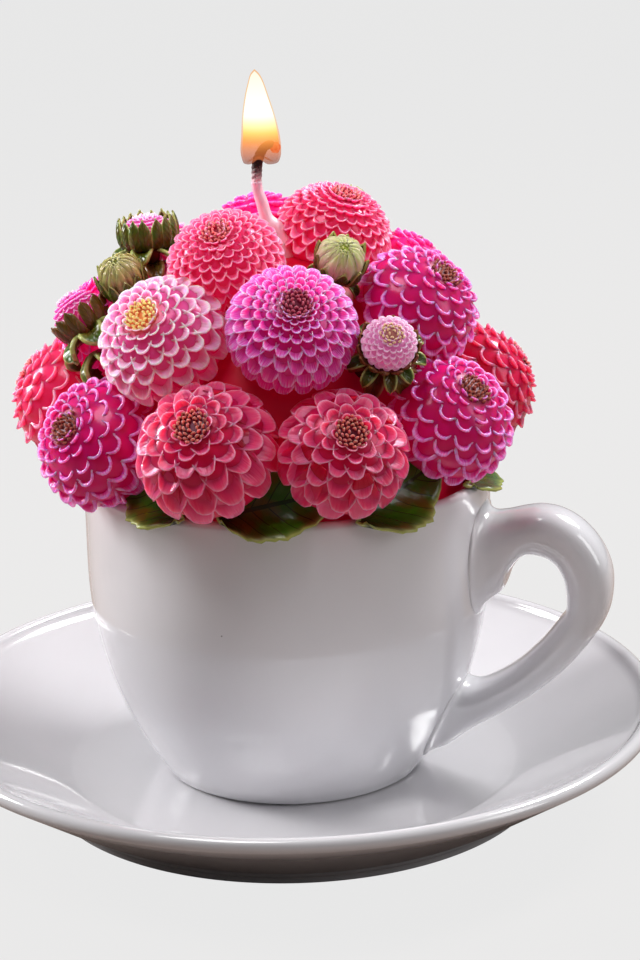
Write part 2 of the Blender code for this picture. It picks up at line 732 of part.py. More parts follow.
def make_bud(site, height, girth, calyx_share, finish, group):
    """A green calyx on its stem, and the ball of young petals that sits in it."""
    split = height * calyx_share
    calyx = []
    for tip_share, notch_share, height_share in CALYX_SHARES:
        level = GAP + height_share * (split - GAP / 2 - GAP)
        calyx.append((tip_share * girth, notch_share * girth, level))
    ball = []
    for tip_share, notch_share, height_share in BALL_SHARES:
        level = split + GAP / 2 + height_share * (height - split - GAP / 2)
        ball.append((tip_share * girth, notch_share * girth, level))
    low = site.seat + site.face * split * CALYX_HEART_SHARE
    high = site.seat + site.face * (split + (height - split) * BALL_HEART_SHARE)
    lathed_bud(site.name + "_calyx", site, low, calyx, 2 * SEPALS, group, "bud_green")
    lathed_bud(site.name + "_petals", site, high, ball, 2 * SEPALS, group, finish)


# Leaves

def under_heads(point, sites):
    """Lower a point of a leaf until it passes under every head."""
    height = point.z
    for site in sites.values():
        limit = site.radius * (1.0 + LIP_LIFT_SHARE) + LEAF_THICKNESS + GAP
        level = math.hypot(point.x - site.centre.x, point.y - site.centre.y)
        if level < limit:
            height = min(height, site.centre.z - math.sqrt(limit ** 2 - level ** 2))
    return Vector((point.x, point.y, height))


def leaf_floor(point):
    """Lowest height of a leaf's middle: on the rim, and sloping down outside it."""
    beyond = max(0.0, math.hypot(point.x, point.y) - RIM_RADIUS)
    return RIM_TOP + GAP + LEAF_THICKNESS / 2 - beyond * math.tan(SKIRT_ANGLE)


def off_dome(point):
    """Move a point of a leaf level outwards until it clears the dome of wax."""
    reach = math.hypot(point.x, point.y)
    limit = DOME_RADIUS + GAP + LEAF_THICKNESS
    if reach < limit:
        point = Vector((point.x * limit / reach, point.y * limit / reach, point.z))
    return point


def make_leaf(name, azimuth, heading, tilt, length_share, sites, group):
    """A toothed blade that lies over the rim and rises inwards between two heads."""
    out = direction(azimuth, 0.0)
    tangent = Vector((-out.y, out.x, 0.0))
    turn = math.radians(heading)
    lean = math.radians(tilt)
    inward = Vector((0.0, 0.0, math.sin(lean))) - out * math.cos(lean)
    anchor = out * (RIM_RADIUS - CUP_WALL / 2)
    anchor.z = RIM_TOP
    length = length_share * LEAF_LENGTH
    half_width = length_share * LEAF_WIDTH / 2
    bm = bmesh.new()
    bmesh.ops.create_grid(bm, x_segments=LEAF_STEPS, y_segments=2, size=1.0)
    for vertex in bm.verts:
        share = (vertex.co.x + 1.0) / 2
        tooth_share = LEAF_TOOTH_SHARES[round(share * LEAF_STEPS) % 2]
        girth = half_width * LEAF_STALK_SHARE
        swell = math.sin(math.pi * share ** LEAF_BLUNTNESS)
        girth += half_width * (1.0 - LEAF_STALK_SHARE) * swell
        along = length * (share - 0.5)
        across = girth * tooth_share * vertex.co.y + half_width * LEAF_RISE_SHARE
        level = along * math.cos(turn) - across * math.sin(turn)
        climb = along * math.sin(turn) + across * math.cos(turn)
        point = anchor + tangent * level
        point += inward * climb if climb > 0.0 else -out * climb
        point = under_heads(off_dome(point), sites)
        point.z = max(point.z, leaf_floor(point))
        vertex.co = point
    leaf = place_object(name, mesh_from(name, bm), group, "leaf_green")
    shell = leaf.modifiers.new("thickness", "SOLIDIFY")
    shell.thickness = LEAF_THICKNESS
    shell.offset = 0.0


def build():
    """Make every piece of the candle."""
    clear_scene()
    group = new_collection("teacup_candle")
    cutters = new_collection("cutters")
    turned("saucer", saucer_outline(), SAUCER_STEPS, group, "porcelain")
    cup = turned("cup", cup_outline(), CUP_STEPS, group, "porcelain")
    combine(cup, make_handle(cutters), "UNION")
    wax = turned("wax_core", wax_outline(), WAX_STEPS, group, "core_wax")
    combine(wax, make_wax_cutter(cutters), "DIFFERENCE")
    turned("wick_tab", tab_outline(), TAB_STEPS, group, "tin")
    place_object("wick", wick_tube("wick", wick_points(), 0.0), group, "wick")
    make_flame(group, cutters)
    sites = plan_sites()
    for place in HEAD_SHARES:
        make_head(sites[place[0]], place[-1], group)
    for place in BUD_SHARES:
        height_share, girth_share, calyx_share, finish = place[5:]
        make_bud(sites[place[0]], height_share * BUD_HEIGHT, girth_share * BUD_RADIUS,
                 calyx_share, finish, group)
    for name, azimuth, heading, tilt, length_share in LEAF_SHARES:
        make_leaf(name, azimuth, heading, tilt, length_share, sites, group)


build()
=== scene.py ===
# %% [markdown]
# # A teacup candle
# A porcelain cup stands on its saucer. Wax is poured into the cup and rises over the rim as
# a dome, and the dome is covered with wax dahlias, buds and leaves. A lit wick stands on top.
# The solids of all these pieces come in as a fixed frame. This lesson lays the fine surface
# over them: petals, sepals, leaf veins, glaze, wax and flame.

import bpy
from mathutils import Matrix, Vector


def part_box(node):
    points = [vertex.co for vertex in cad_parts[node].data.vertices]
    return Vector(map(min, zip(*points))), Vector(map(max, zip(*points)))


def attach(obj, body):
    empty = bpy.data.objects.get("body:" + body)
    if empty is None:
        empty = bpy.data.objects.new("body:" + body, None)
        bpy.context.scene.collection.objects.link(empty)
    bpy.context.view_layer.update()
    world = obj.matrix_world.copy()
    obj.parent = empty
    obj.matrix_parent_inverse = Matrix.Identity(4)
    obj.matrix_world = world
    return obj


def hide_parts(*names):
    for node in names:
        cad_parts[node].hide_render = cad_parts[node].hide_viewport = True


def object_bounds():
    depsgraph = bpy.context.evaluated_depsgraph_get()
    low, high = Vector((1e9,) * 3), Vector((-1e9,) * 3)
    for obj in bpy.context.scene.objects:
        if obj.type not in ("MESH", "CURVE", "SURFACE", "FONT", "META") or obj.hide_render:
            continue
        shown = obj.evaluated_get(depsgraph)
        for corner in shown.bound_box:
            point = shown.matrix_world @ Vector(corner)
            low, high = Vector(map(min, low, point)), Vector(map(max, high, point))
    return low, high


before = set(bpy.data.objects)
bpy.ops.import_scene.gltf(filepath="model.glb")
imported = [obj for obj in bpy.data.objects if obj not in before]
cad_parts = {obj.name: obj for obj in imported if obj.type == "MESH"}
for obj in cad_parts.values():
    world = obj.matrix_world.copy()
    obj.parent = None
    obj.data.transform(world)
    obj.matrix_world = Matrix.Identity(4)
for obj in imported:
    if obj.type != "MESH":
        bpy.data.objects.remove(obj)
cad_box = [list(corner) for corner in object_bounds()]

import math
import random

import bmesh
import bpy
import numpy as np
from mathutils import Matrix, Vector

print("pieces in the frame:", len(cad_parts))
print("box in mm:", [[round(value * 1000, 1) for value in corner] for corner in cad_box])

# %% [markdown]
# ## Sizes read from the frame
# The frame says where the rim, the saucer and the dome of wax are. Every piece made below
# is placed from these few values, so it fits over its solid.

# %% Read the main sizes
MM = 0.001
GAP = 0.3 * MM
saucer_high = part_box("saucer")[1]
cup_low, cup_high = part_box("cup")
wax_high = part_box("wax_core")[1]
flame_low, flame_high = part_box("flame")
SAUCER_RADIUS = saucer_high.x
SAUCER_TOP = saucer_high.z
RIM_RADIUS = -cup_low.x
RIM_TOP = cup_high.z
CUP_BASE = cup_low.z
DOME_TOP = wax_high.z
DOME_LEDGE = 5.0 * MM
DOME_RADIUS = RIM_RADIUS - DOME_LEDGE
DOME_RISE = DOME_TOP - RIM_TOP
DOME_CENTRE = Vector((0.0, 0.0, RIM_TOP))
print("rim radius and height in mm:", round(RIM_RADIUS / MM, 2), round(RIM_TOP / MM, 2))
print("dome rises in mm:", round(DOME_RISE / MM, 2))

# %% [markdown]
# ## The camera
# The camera is placed first, because all the likeness is judged through it. Its place and
# lean were worked out from the outlines of the rim, the foot and the saucer. A lens of
# 90 mm keeps the perspective flat, as on a table-top portrait taken from a step away.

# %% Place the camera
CAMERA_PLACE = Vector((157.8, -487.4, 221.0)) * MM
CAMERA_RIGHT = Vector((0.9572, 0.2888, -0.0201))
CAMERA_UP = Vector((-0.0628, 0.2747, 0.9595))
CAMERA_LENS = 90.0
CAMERA_SENSOR = 36.0


def place_camera():
    """A long lens from the front, a little above the rim."""
    data = bpy.data.cameras.new("portrait_lens")
    data.sensor_fit = "VERTICAL"
    data.sensor_height = CAMERA_SENSOR
    data.lens = CAMERA_LENS
    camera = bpy.data.objects.new("camera", data)
    bpy.context.scene.collection.objects.link(camera)
    back = CAMERA_RIGHT.cross(CAMERA_UP).normalized()
    up = back.cross(CAMERA_RIGHT).normalized()
    axes = Matrix((CAMERA_RIGHT.normalized(), up, back)).transposed()
    camera.matrix_world = Matrix.Translation(CAMERA_PLACE) @ axes.to_4x4()
    bpy.context.scene.camera = camera
    return camera


camera = place_camera()
print("camera at", [round(value, 3) for value in camera.location])

# %% [markdown]
# ## Floor and light
# White porcelain has almost no colour of its own: what it shows is the light and dark around
# it. So the floor has two tones. The camera sees a plain pale grey with the candle's shadow
# on it, while lamps and glaze meet a warm, darker ground, like a table top. The strongest
# lamp stands behind the cup on the right, so the back of the saucer shines and the cup's own
# front stays a soft grey. A tall box on the left and a weak one on the right light the lips
# of the petals, and a small one close above brightens the faces that look up. The room is
# brighter above and behind than it is in front.

# %% Make the floor
FLOOR_RADIUS = 6.0
FLOOR_SIDES = 96
FLOOR_DROP = 0.05 * MM
FLOOR_OWN_SHARE = 0.93
FLOOR_OWN_GREY = 0.858
FLOOR_TONE = (0.30, 0.245, 0.22, 1.0)


def grey(level):
    """A plain share as a colour."""
    return (level, level, level, 1.0)


def node_graph(owner):
    """The nodes and the links of a material or a world."""
    owner.use_nodes = True
    return owner.node_tree.nodes, owner.node_tree.links


def make_floor():
    """A wide disc. Camera rays see mostly its own grey, so it stays even but keeps a shadow."""
    bm = bmesh.new()
    bmesh.ops.create_circle(bm, cap_ends=True, radius=FLOOR_RADIUS, segments=FLOOR_SIDES)
    mesh = bpy.data.meshes.new("floor")
    bm.to_mesh(mesh)
    bm.free()
    floor = bpy.data.objects.new("floor", mesh)
    floor.location.z = -FLOOR_DROP
    bpy.context.scene.collection.objects.link(floor)
    material = bpy.data.materials.new("pale_floor")
    nodes, links = node_graph(material)
    nodes.clear()
    out = nodes.new("ShaderNodeOutputMaterial")
    ground = nodes.new("ShaderNodeBsdfDiffuse")
    ground.inputs["Color"].default_value = FLOOR_TONE
    own = nodes.new("ShaderNodeEmission")
    own.inputs["Color"].default_value = grey(FLOOR_OWN_GREY)
    ray = nodes.new("ShaderNodeLightPath")
    share = nodes.new("ShaderNodeMath")
    share.operation = "MULTIPLY"
    share.inputs[1].default_value = FLOOR_OWN_SHARE
    mix = nodes.new("ShaderNodeMixShader")
    links.new(ray.outputs["Is Camera Ray"], share.inputs[0])
    links.new(share.outputs[0], mix.inputs[0])
    links.new(ground.outputs[0], mix.inputs[1])
    links.new(own.outputs[0], mix.inputs[2])
    links.new(mix.outputs[0], out.inputs["Surface"])
    mesh.materials.append(material)
    return floor


make_floor()
print("floor radius in m:", FLOOR_RADIUS)

# %% Make the room
BACKDROP_GREY = 0.807
ROOM_TINT = (0.96, 0.97, 1.0, 1.0)
ROOM_BRIGHT_SIDE = Vector((0.25, 0.62, 0.74))
ROOM_DIM = 0.045
ROOM_BRIGHT = 0.35
ROOM_FADE = (-0.5, 0.9)


def make_room():
    """A pale room: even grey to the camera, and brighter above and behind as light."""
    world = bpy.data.worlds.new("room")
    nodes, links = node_graph(world)
    nodes.clear()
    out = nodes.new("ShaderNodeOutputWorld")
    seen = nodes.new("ShaderNodeBackground")
    seen.inputs["Color"].default_value = grey(BACKDROP_GREY)
    lit = nodes.new("ShaderNodeBackground")
    lit.inputs["Color"].default_value = ROOM_TINT
    place = nodes.new("ShaderNodeTexCoord")
    facing = nodes.new("ShaderNodeVectorMath")
    facing.operation = "DOT_PRODUCT"
    facing.inputs[1].default_value = ROOM_BRIGHT_SIDE.normalized()
    level = nodes.new("ShaderNodeMapRange")
    level.interpolation_type = "SMOOTHSTEP"
    level.inputs["From Min"].default_value = ROOM_FADE[0]
    level.inputs["From Max"].default_value = ROOM_FADE[1]
    level.inputs["To Min"].default_value = ROOM_DIM
    level.inputs["To Max"].default_value = ROOM_BRIGHT
    ray = nodes.new("ShaderNodeLightPath")
    mix = nodes.new("ShaderNodeMixShader")
    links.new(place.outputs["Generated"], facing.inputs[0])
    links.new(facing.outputs["Value"], level.inputs["Value"])
    links.new(level.outputs["Result"], lit.inputs["Strength"])
    links.new(ray.outputs["Is Camera Ray"], mix.inputs[0])
    links.new(lit.outputs[0], mix.inputs[1])
    links.new(seen.outputs[0], mix.inputs[2])
    links.new(mix.outputs[0], out.inputs["Surface"])
    bpy.context.scene.world = world


bpy.context.scene.view_settings.view_transform = "Standard"
make_room()
print("room light from", ROOM_DIM, "to", ROOM_BRIGHT)

# %% Place the lamps
LAMP_AIM = Vector((0.0, 0.0, 0.08))

# Name, place in metres, width and height in metres, watts
LAMPS = (
    ("back_key", (0.40, 0.50, 0.75), (0.30, 0.30), 8.2),
    ("tall_left", (-0.60, 0.0, 0.31), (0.15, 0.32), 4.7),
    ("tall_right", (0.62, -0.05, 0.36), (0.20, 0.40), 0.8),
    ("top_soft", (-0.05, -0.12, 0.36), (0.14, 0.14), 0.42),
)


def soft_box(name, place, size, watts):
    """A rectangular lamp that points at the candle."""
    data = bpy.data.lights.new(name, "AREA")
    data.shape = "RECTANGLE"
    data.size, data.size_y = size
    data.energy = watts
    lamp = bpy.data.objects.new(name, data)
    lamp.location = place
    lamp.rotation_euler = (LAMP_AIM - Vector(place)).to_track_quat("-Z", "Y").to_euler()
    bpy.context.scene.collection.objects.link(lamp)


for row in LAMPS:
    soft_box(*row)
print("lamps:", [row[0] for row in LAMPS])

# %% [markdown]
# ## Colours and finishes
# Colours are written as they look on a screen, 0 to 255, and turned into light values by
# one function. Each finish has a few colours: wax is darker deep between petals, as painted
# shade, brighter on its face, and pale on its thin edges, partly as painted highlight.

# %% Turn a screen colour into light values


def light_value(level):
    """The light that one screen level, 0 to 255, stands for."""
    share = level / 255.0
    if share <= 0.04045:
        return share / 12.92
    return ((share + 0.055) / 1.055) ** 2.4


def paint(red, green, blue):
    """A colour in light values, with full alpha."""
    return (light_value(red), light_value(green), light_value(blue), 1.0)


print("mid grey as light:", round(light_value(128), 3))

# %% Short ways to add shader nodes


def new_finish(name):
    """A new material with its nodes, its links and its main shader."""
    material = bpy.data.materials.new(name)
    nodes, links = node_graph(material)
    return material, nodes, links, nodes["Principled BSDF"]


def set_inputs(shader, values):
    """Set plain values on the sockets of a shader."""
    for name, value in values.items():
        shader.inputs[name].default_value = value


def ramp_of(nodes, links, factor, stops):
    """A colour ramp with stops of (position, colour), read at a factor."""
    ramp = nodes.new("ShaderNodeValToRGB")
    elements = ramp.color_ramp.elements
    while len(elements) < len(stops):
        elements.new(0.5)
    for element, (position, colour) in zip(elements, stops):
        element.position = position
        element.color = colour
    links.new(factor, ramp.inputs["Fac"])
    return ramp.outputs["Color"]


def mark(nodes, name):
    """Read one mark of the mesh."""
    reader = nodes.new("ShaderNodeAttribute")
    reader.attribute_name = name
    return reader.outputs["Fac"]


def do_math(nodes, links, operation, *values):
    """A math node on values that are sockets or numbers."""
    node = nodes.new("ShaderNodeMath")
    node.operation = operation
    for socket, value in zip(node.inputs, values):
        if isinstance(value, (int, float)):
            socket.default_value = value
        else:
            links.new(value, socket)
    return node.outputs[0]


def blend_colours(nodes, links, share, first, second):
    """Mix two colours, each a socket or a colour, by a share."""
    node = nodes.new("ShaderNodeMix")
    node.data_type = "RGBA"
    sockets = [socket for socket in node.inputs if socket.enabled]
    for socket, value in zip(sockets, (share, first, second)):
        if isinstance(value, (int, float, tuple)):
            socket.default_value = value
        else:
            links.new(value, socket)
    return node.outputs["Result"]


def noise(nodes, links, scale, detail, vector):
    """A noise texture over a vector."""
    node = nodes.new("ShaderNodeTexNoise")
    node.inputs["Scale"].default_value = scale
    node.inputs["Detail"].default_value = detail
    links.new(vector, node.inputs["Vector"])
    return node.outputs["Fac"]


def cloud_over(nodes, links, scale, detail):
    """Noise in the piece's own space."""
    place = nodes.new("ShaderNodeTexCoord")
    return noise(nodes, links, scale, detail, place.outputs["Object"])


def bumped(nodes, links, height, strength, distance, shader):
    """Bump the shader's normal by a height, and return the bumped normal."""
    bump = nodes.new("ShaderNodeBump")
    bump.inputs["Strength"].default_value = strength
    bump.inputs["Distance"].default_value = distance
    links.new(height, bump.inputs["Height"])
    links.new(bump.outputs["Normal"], shader.inputs["Normal"])
    return bump.outputs["Normal"]


HELPERS = (new_finish, set_inputs, ramp_of, mark, do_math, blend_colours, noise, cloud_over, bumped)
print("helpers for finishes:", [helper.__name__ for helper in HELPERS])

# %% [markdown]
# ## Porcelain
# Glazed porcelain is white clay under a skin of glass. The glaze on top mirrors the room, and
# the coat of the shader stands for it. A faint noise in its bump gives the slow ripple of a
# fired glaze, and a few specks of iron show as pinholes do on real ware. The saucer's glaze
# is painted a shade greyer than the cup's, as painted shade: the two are one porcelain.

# %% Mix the porcelain
RIPPLE_SCALE = 55.0
TONE_SCALE = 18.0
SPECK_SCALE = 70.0
SPECK_SIZE = 0.018


def porcelain_finish(name, darker, lighter):
    """White glazed ware with a slow ripple and a few tiny specks."""
    material, nodes, links, shader = new_finish(name)
    set_inputs(shader, {"Roughness": 0.16, "IOR": 1.5, "Coat Weight": 1.0,
                        "Coat Roughness": 0.035, "Coat IOR": 1.5})
    tone = ramp_of(nodes, links, cloud_over(nodes, links, TONE_SCALE, 2.0),
                   ((0.35, darker), (0.65, lighter)))
    place = nodes.new("ShaderNodeTexCoord")
    speck = nodes.new("ShaderNodeTexVoronoi")
    speck.inputs["Scale"].default_value = SPECK_SCALE
    links.new(place.outputs["Object"], speck.inputs["Vector"])
    dot = do_math(nodes, links, "LESS_THAN", speck.outputs["Distance"], SPECK_SIZE)
    stained = blend_colours(nodes, links, dot, tone, paint(150, 148, 150))
    links.new(stained, shader.inputs["Base Color"])
    ripple = cloud_over(nodes, links, RIPPLE_SCALE, 1.0)
    normal = bumped(nodes, links, ripple, 0.05, 0.4 * MM, shader)
    links.new(normal, shader.inputs["Coat Normal"])
    return material


CUP_GLAZE = porcelain_finish("white_glaze", paint(226, 225, 229), paint(232, 231, 235))
# Painted shade: the saucer is the same porcelain as the cup, painted greyer.
SHADED_SAUCER_GLAZE = porcelain_finish("shade_painted_glaze", paint(208, 206, 209), paint(214, 212, 215))
print("finishes:", CUP_GLAZE.name, SHADED_SAUCER_GLAZE.name)

# %% [markdown]
# ## Two ways to make a surface
# Nearly everything here is one of two things. A turned piece is an outline spun about the
# cup's axis. All the rest are sheets: a grid of points, given a thickness and a rounded
# edge. Petals, sepals, leaves and the handle's strap are all grids. The grids of one flower
# are gathered into one mesh, and each point carries marks that its finish reads later.

# %% Gather grids of points into one mesh


class Gather:
    """Collects pieces of surface into one mesh, with named marks on each point."""

    def __init__(self):
        self.points = []
        self.faces = []
        self.marks = {}
        self.count = 0

    def add(self, points, faces, **marks):
        """Add points and faces. Each mark is one number for each point."""
        self.points.append(points)
        self.faces.extend([[index + self.count for index in face] for face in faces])
        for name, values in marks.items():
            self.marks.setdefault(name, []).append(np.broadcast_to(values, len(points)))
        self.count += len(points)

    def mesh(self, name):
        """The gathered mesh, smooth all over."""
        mesh = bpy.data.meshes.new(name)
        mesh.from_pydata(np.concatenate(self.points).tolist(), [], self.faces)
        for mark, values in self.marks.items():
            layer = mesh.attributes.new(mark, "FLOAT", "POINT")
            layer.data.foreach_set("value", np.concatenate(values).astype(np.float32))
        mesh.shade_smooth()
        return mesh


def new_piece(name, mesh, finish, slot, nodes, body="cup"):
    """Put a mesh in the scene as a piece that stands for its solids."""
    piece = bpy.data.objects.new(name, mesh)
    bpy.context.scene.collection.objects.link(piece)
    mesh.materials.clear()
    mesh.materials.append(finish)
    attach(piece, body)
    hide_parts(*nodes)
    return piece


print("marks read by the finishes: rim, along, across, chance, eye")

# %% Spin an outline about the axis


def turned_mesh(name, outline, steps):
    """Spin (radius, height) points about the axis. A point on the axis closes the piece."""
    verts = []
    rows = []
    for radius, height in outline:
        if radius <= 0.0:
            rows.append([len(verts)])
            verts.append((0.0, 0.0, height))
            continue
        rows.append(list(range(len(verts), len(verts) + steps)))
        for step in range(steps):
            turn = math.tau * step / steps
            verts.append((radius * math.cos(turn), radius * math.sin(turn), height))
    faces = []
    for upper, lower in zip(rows, rows[1:]):
        for step in range(steps):
            after = (step + 1) % steps
            if len(upper) == 1:
                faces.append((upper[0], lower[step], lower[after]))
            elif len(lower) == 1:
                faces.append((upper[step], lower[0], upper[after]))
            else:
                faces.append((upper[step], lower[step], lower[after], upper[after]))
    mesh = bpy.data.meshes.new(name)
    mesh.from_pydata(verts, [], faces)
    mesh.shade_smooth()
    return mesh


def arc(centre, radii, start, stop, count):
    """Points of an elliptical arc, angles in degrees."""
    points = []
    for i in range(count):
        angle = math.radians(start + (stop - start) * i / (count - 1))
        points.append((centre[0] + radii[0] * math.cos(angle),
                       centre[1] + radii[1] * math.sin(angle)))
    return points


print("end of a half round:", [round(value, 3) for value in arc((0, 0), (1, 1), 180, 0, 9)[-1]])

# %% [markdown]
# ## The saucer
# A saucer is thrown or pressed, then turned, so its section says everything: a flat well
# that carries the cup, a wall that sweeps up and out, a rounded lip, and a foot ring under
# it. The lip is a true half round, because its bright line is what the eye reads as glaze.

# %% Turn the saucer
SAUCER_LIP = 3.4 * MM
SAUCER_FLAT = 50.5 * MM
SAUCER_FLOOR = 5.7 * MM
SAUCER_FOOT = 56.5 * MM
SAUCER_FOOT_WIDTH = 5.5 * MM
SAUCER_FOOT_HEIGHT = 1.4 * MM
SAUCER_RECESS = 1.9 * MM
SAUCER_SWEEP = 1.25
SAUCER_BEAD = 0.5 * MM
SWEEP_STEPS = 30
TURN_STEPS = 256


def saucer_section():
    """Floor, sweep, lip, underside and foot ring."""
    half_lip = SAUCER_LIP / 2
    lip_radius = SAUCER_RADIUS - half_lip
    lip_height = SAUCER_TOP - half_lip
    inner = SAUCER_RADIUS - SAUCER_LIP
    points = [(0.0, SAUCER_FLOOR)]
    points += [(share * SAUCER_FLAT, SAUCER_FLOOR) for share in (0.2, 0.5, 0.8, 0.93)]
    for step in range(SWEEP_STEPS):
        share = step / SWEEP_STEPS
        rise = (lip_height - SAUCER_FLOOR) * share ** SAUCER_SWEEP
        points.append((SAUCER_FLAT + share * (inner - SAUCER_FLAT), SAUCER_FLOOR + rise))
    points += arc((lip_radius, lip_height), (half_lip, half_lip), 165.0, -40.0, 22)
    low = points[-1]
    for share in (0.2, 0.4, 0.6, 0.8, 0.97):
        points.append((low[0] + share * (SAUCER_FOOT - low[0]),
                       low[1] + share * (SAUCER_FOOT_HEIGHT - low[1])))
    inner_foot = SAUCER_FOOT - SAUCER_FOOT_WIDTH
    bead = SAUCER_BEAD
    points.append((SAUCER_FOOT, SAUCER_FOOT_HEIGHT))
    points += arc((SAUCER_FOOT - bead, bead), (bead, bead), 0.0, -90.0, 5)
    points += arc((inner_foot + bead, bead), (bead, bead), -90.0, -180.0, 5)
    points += [(inner_foot, SAUCER_RECESS - bead / 2), (inner_foot - bead, SAUCER_RECESS),
               (0.0, SAUCER_RECESS)]
    return points


saucer_mesh = turned_mesh("glazed_saucer", saucer_section(), TURN_STEPS)
saucer = new_piece("glazed_saucer", saucer_mesh, SHADED_SAUCER_GLAZE, "porcelain", ["saucer"], body="saucer")
print("saucer faces:", len(saucer.data.polygons))

# %% [markdown]
# ## The cup
# The cup is a bowl that swells quickly from a narrow foot and then runs straight up to the
# rim. One formula gives its outer radius at any height. The inside follows it at the
# thickness of the wall, and the lip between them is a half round again.

# %% Turn the cup
CUP_FOOT = 29.7 * MM
BELLY_HEIGHT = 50.0 * MM
BELLY_POWER = 2.2
CUP_WALL = 3.0 * MM
CUP_FLOOR = 4.4 * MM
CUP_FOOT_WIDTH = 4.5 * MM
CUP_FOOT_RECESS = 1.8 * MM
CUP_BEAD = 0.4 * MM
INSIDE_STEPS = 24
OUTSIDE_STEPS = 48


def cup_radius(height):
    """Outer radius of the cup at a height."""
    share = min(max((height - CUP_BASE) / BELLY_HEIGHT, 0.0), 1.0)
    return RIM_RADIUS - (RIM_RADIUS - CUP_FOOT) * (1.0 - share) ** BELLY_POWER


def cup_section():
    """Inside wall from the floor up, lip, outside wall down, and the foot."""
    lip = CUP_WALL / 2
    inside = CUP_BASE + CUP_FLOOR
    points = [(0.0, inside), (8.0 * MM, inside), (18.0 * MM, inside)]
    for step in range(INSIDE_STEPS):
        share = step / INSIDE_STEPS
        height = inside + GAP + share * (RIM_TOP - lip - inside)
        points.append((cup_radius(height) - CUP_WALL, height))
    points += arc((RIM_RADIUS - lip, RIM_TOP - lip), (lip, lip), 180.0, 0.0, 20)
    bead = CUP_BEAD
    for step in range(1, OUTSIDE_STEPS):
        height = RIM_TOP - lip - step / OUTSIDE_STEPS * (RIM_TOP - lip - CUP_BASE - bead)
        points.append((cup_radius(height), height))
    points += arc((CUP_FOOT - bead, CUP_BASE + bead), (bead, bead), -10.0, -90.0, 4)
    foot = CUP_FOOT - CUP_FOOT_WIDTH
    recess = CUP_BASE + CUP_FOOT_RECESS
    points += [(foot, CUP_BASE), (foot, recess), (0.0, recess)]
    return points


cup_mesh = turned_mesh("glazed_cup", cup_section(), TURN_STEPS)
print("cup faces:", len(cup_mesh.polygons))

# %% [markdown]
# ## The handle
# The handle is a strap of clay with soft corners, stuck to the cup before firing. It leaves
# the wall as a deep root under the rim, runs out and round, and comes back low on the belly.
# It is lofted: each station has an outer edge, an inner edge and a width, and a smooth curve
# runs through the stations. Where the strap nears the wall, its skin flares out to meet the
# wall in a hollow curve, as slip does when it is smeared into the joint.

# %% List the stations of the handle
HANDLE_REACH = 28.4 * MM
HANDLE_HEIGHT = 60.0 * MM
HANDLE_DROP = 5.3 * MM
HANDLE_HALF_WIDTH = 6.4 * MM
HANDLE_SQUARENESS = 2.5
HANDLE_STEPS = 8
HANDLE_SIDES = 40
ROOT_FLARE = 3.2 * MM
FLARE_SHARE = 0.8

# Stations as (share of the reach, share of the height) for the outer and the inner edge,
# then a share of the half width
HANDLE_SHARES = (
    ((0.04, 0.963), (0.01, 0.626), 1.26),
    ((0.18, 0.975), (0.148, 0.671), 1.08),
    ((0.30, 0.990), (0.211, 0.752), 1.00),
    ((0.44, 1.000), (0.317, 0.814), 1.00),
    ((0.60, 0.988), (0.458, 0.817), 1.00),
    ((0.757, 0.947), (0.560, 0.792), 1.00),
    ((0.891, 0.880), (0.620, 0.747), 1.00),
    ((0.979, 0.794), (0.648, 0.702), 1.00),
    ((1.000, 0.702), (0.660, 0.659), 1.00),
    ((0.977, 0.607), (0.658, 0.617), 1.00),
    ((0.890, 0.507), (0.602, 0.571), 1.00),
    ((0.751, 0.391), (0.496, 0.488), 1.00),
    ((0.588, 0.291), (0.344, 0.394), 1.00),
    ((0.398, 0.201), (0.161, 0.321), 1.00),
    ((0.227, 0.125), (0.030, 0.300), 1.06),
    ((0.100, 0.048), (0.000, 0.295), 1.18),
)
print("stations of the handle:", len(HANDLE_SHARES))

# %% Draw a smooth curve through stations


def smooth_through(rows, steps):
    """A smooth curve through rows of numbers, with a number of steps between two rows."""
    rows = np.asarray(rows, float)
    padded = np.vstack((2 * rows[0] - rows[1], rows, 2 * rows[-1] - rows[-2]))
    out = []
    for i in range(1, len(padded) - 2):
        before, here, after, later = padded[i - 1:i + 3]
        for step in range(steps):
            t = step / steps
            out.append(0.5 * (2 * here + (after - before) * t
                              + (2 * before - 5 * here + 4 * after - later) * t ** 2
                              + (3 * here - before - 3 * after + later) * t ** 3))
    out.append(rows[-1])
    return np.array(out)


print("halfway through a bend:", smooth_through([(0, 0), (1, 0), (1, 1)], 2)[1].tolist())

# %% Loft the handle


def handle_edge(share, height_share):
    """A point of the strap's edge in the plane of the handle."""
    height = RIM_TOP - HANDLE_DROP - HANDLE_HEIGHT * (1.0 - height_share)
    return np.array((cup_radius(height) + share * HANDLE_REACH, height))


def handle_stations():
    """Outer edge, inner edge and half width along the strap, both ends let into the wall."""
    rows = []
    for outer, inner, width_share in HANDLE_SHARES:
        rows.append((*handle_edge(*outer), *handle_edge(*inner), width_share * HANDLE_HALF_WIDTH))
    ends = []
    for row in (rows[0], rows[-1]):
        outer_in = (cup_radius(row[1]) - CUP_WALL / 2, row[1])
        inner_in = (cup_radius(row[3]) - CUP_WALL / 2, row[3])
        ends.append((*outer_in, *inner_in, row[4]))
    return smooth_through([ends[0]] + rows + [ends[1]], HANDLE_STEPS)


def flare_at_wall(point, middle):
    """Push a point of the strap outwards where it nears the wall."""
    level = math.hypot(point[0], point[1])
    away = level - cup_radius(point[2])
    if away >= ROOT_FLARE:
        return point
    near = min(1.0, 1.0 - away / ROOT_FLARE)
    push = ROOT_FLARE * (1.0 - math.sqrt(max(0.0, 1.0 - near * near)))
    line = point - middle
    return point + line / np.linalg.norm(line) * push * FLARE_SHARE


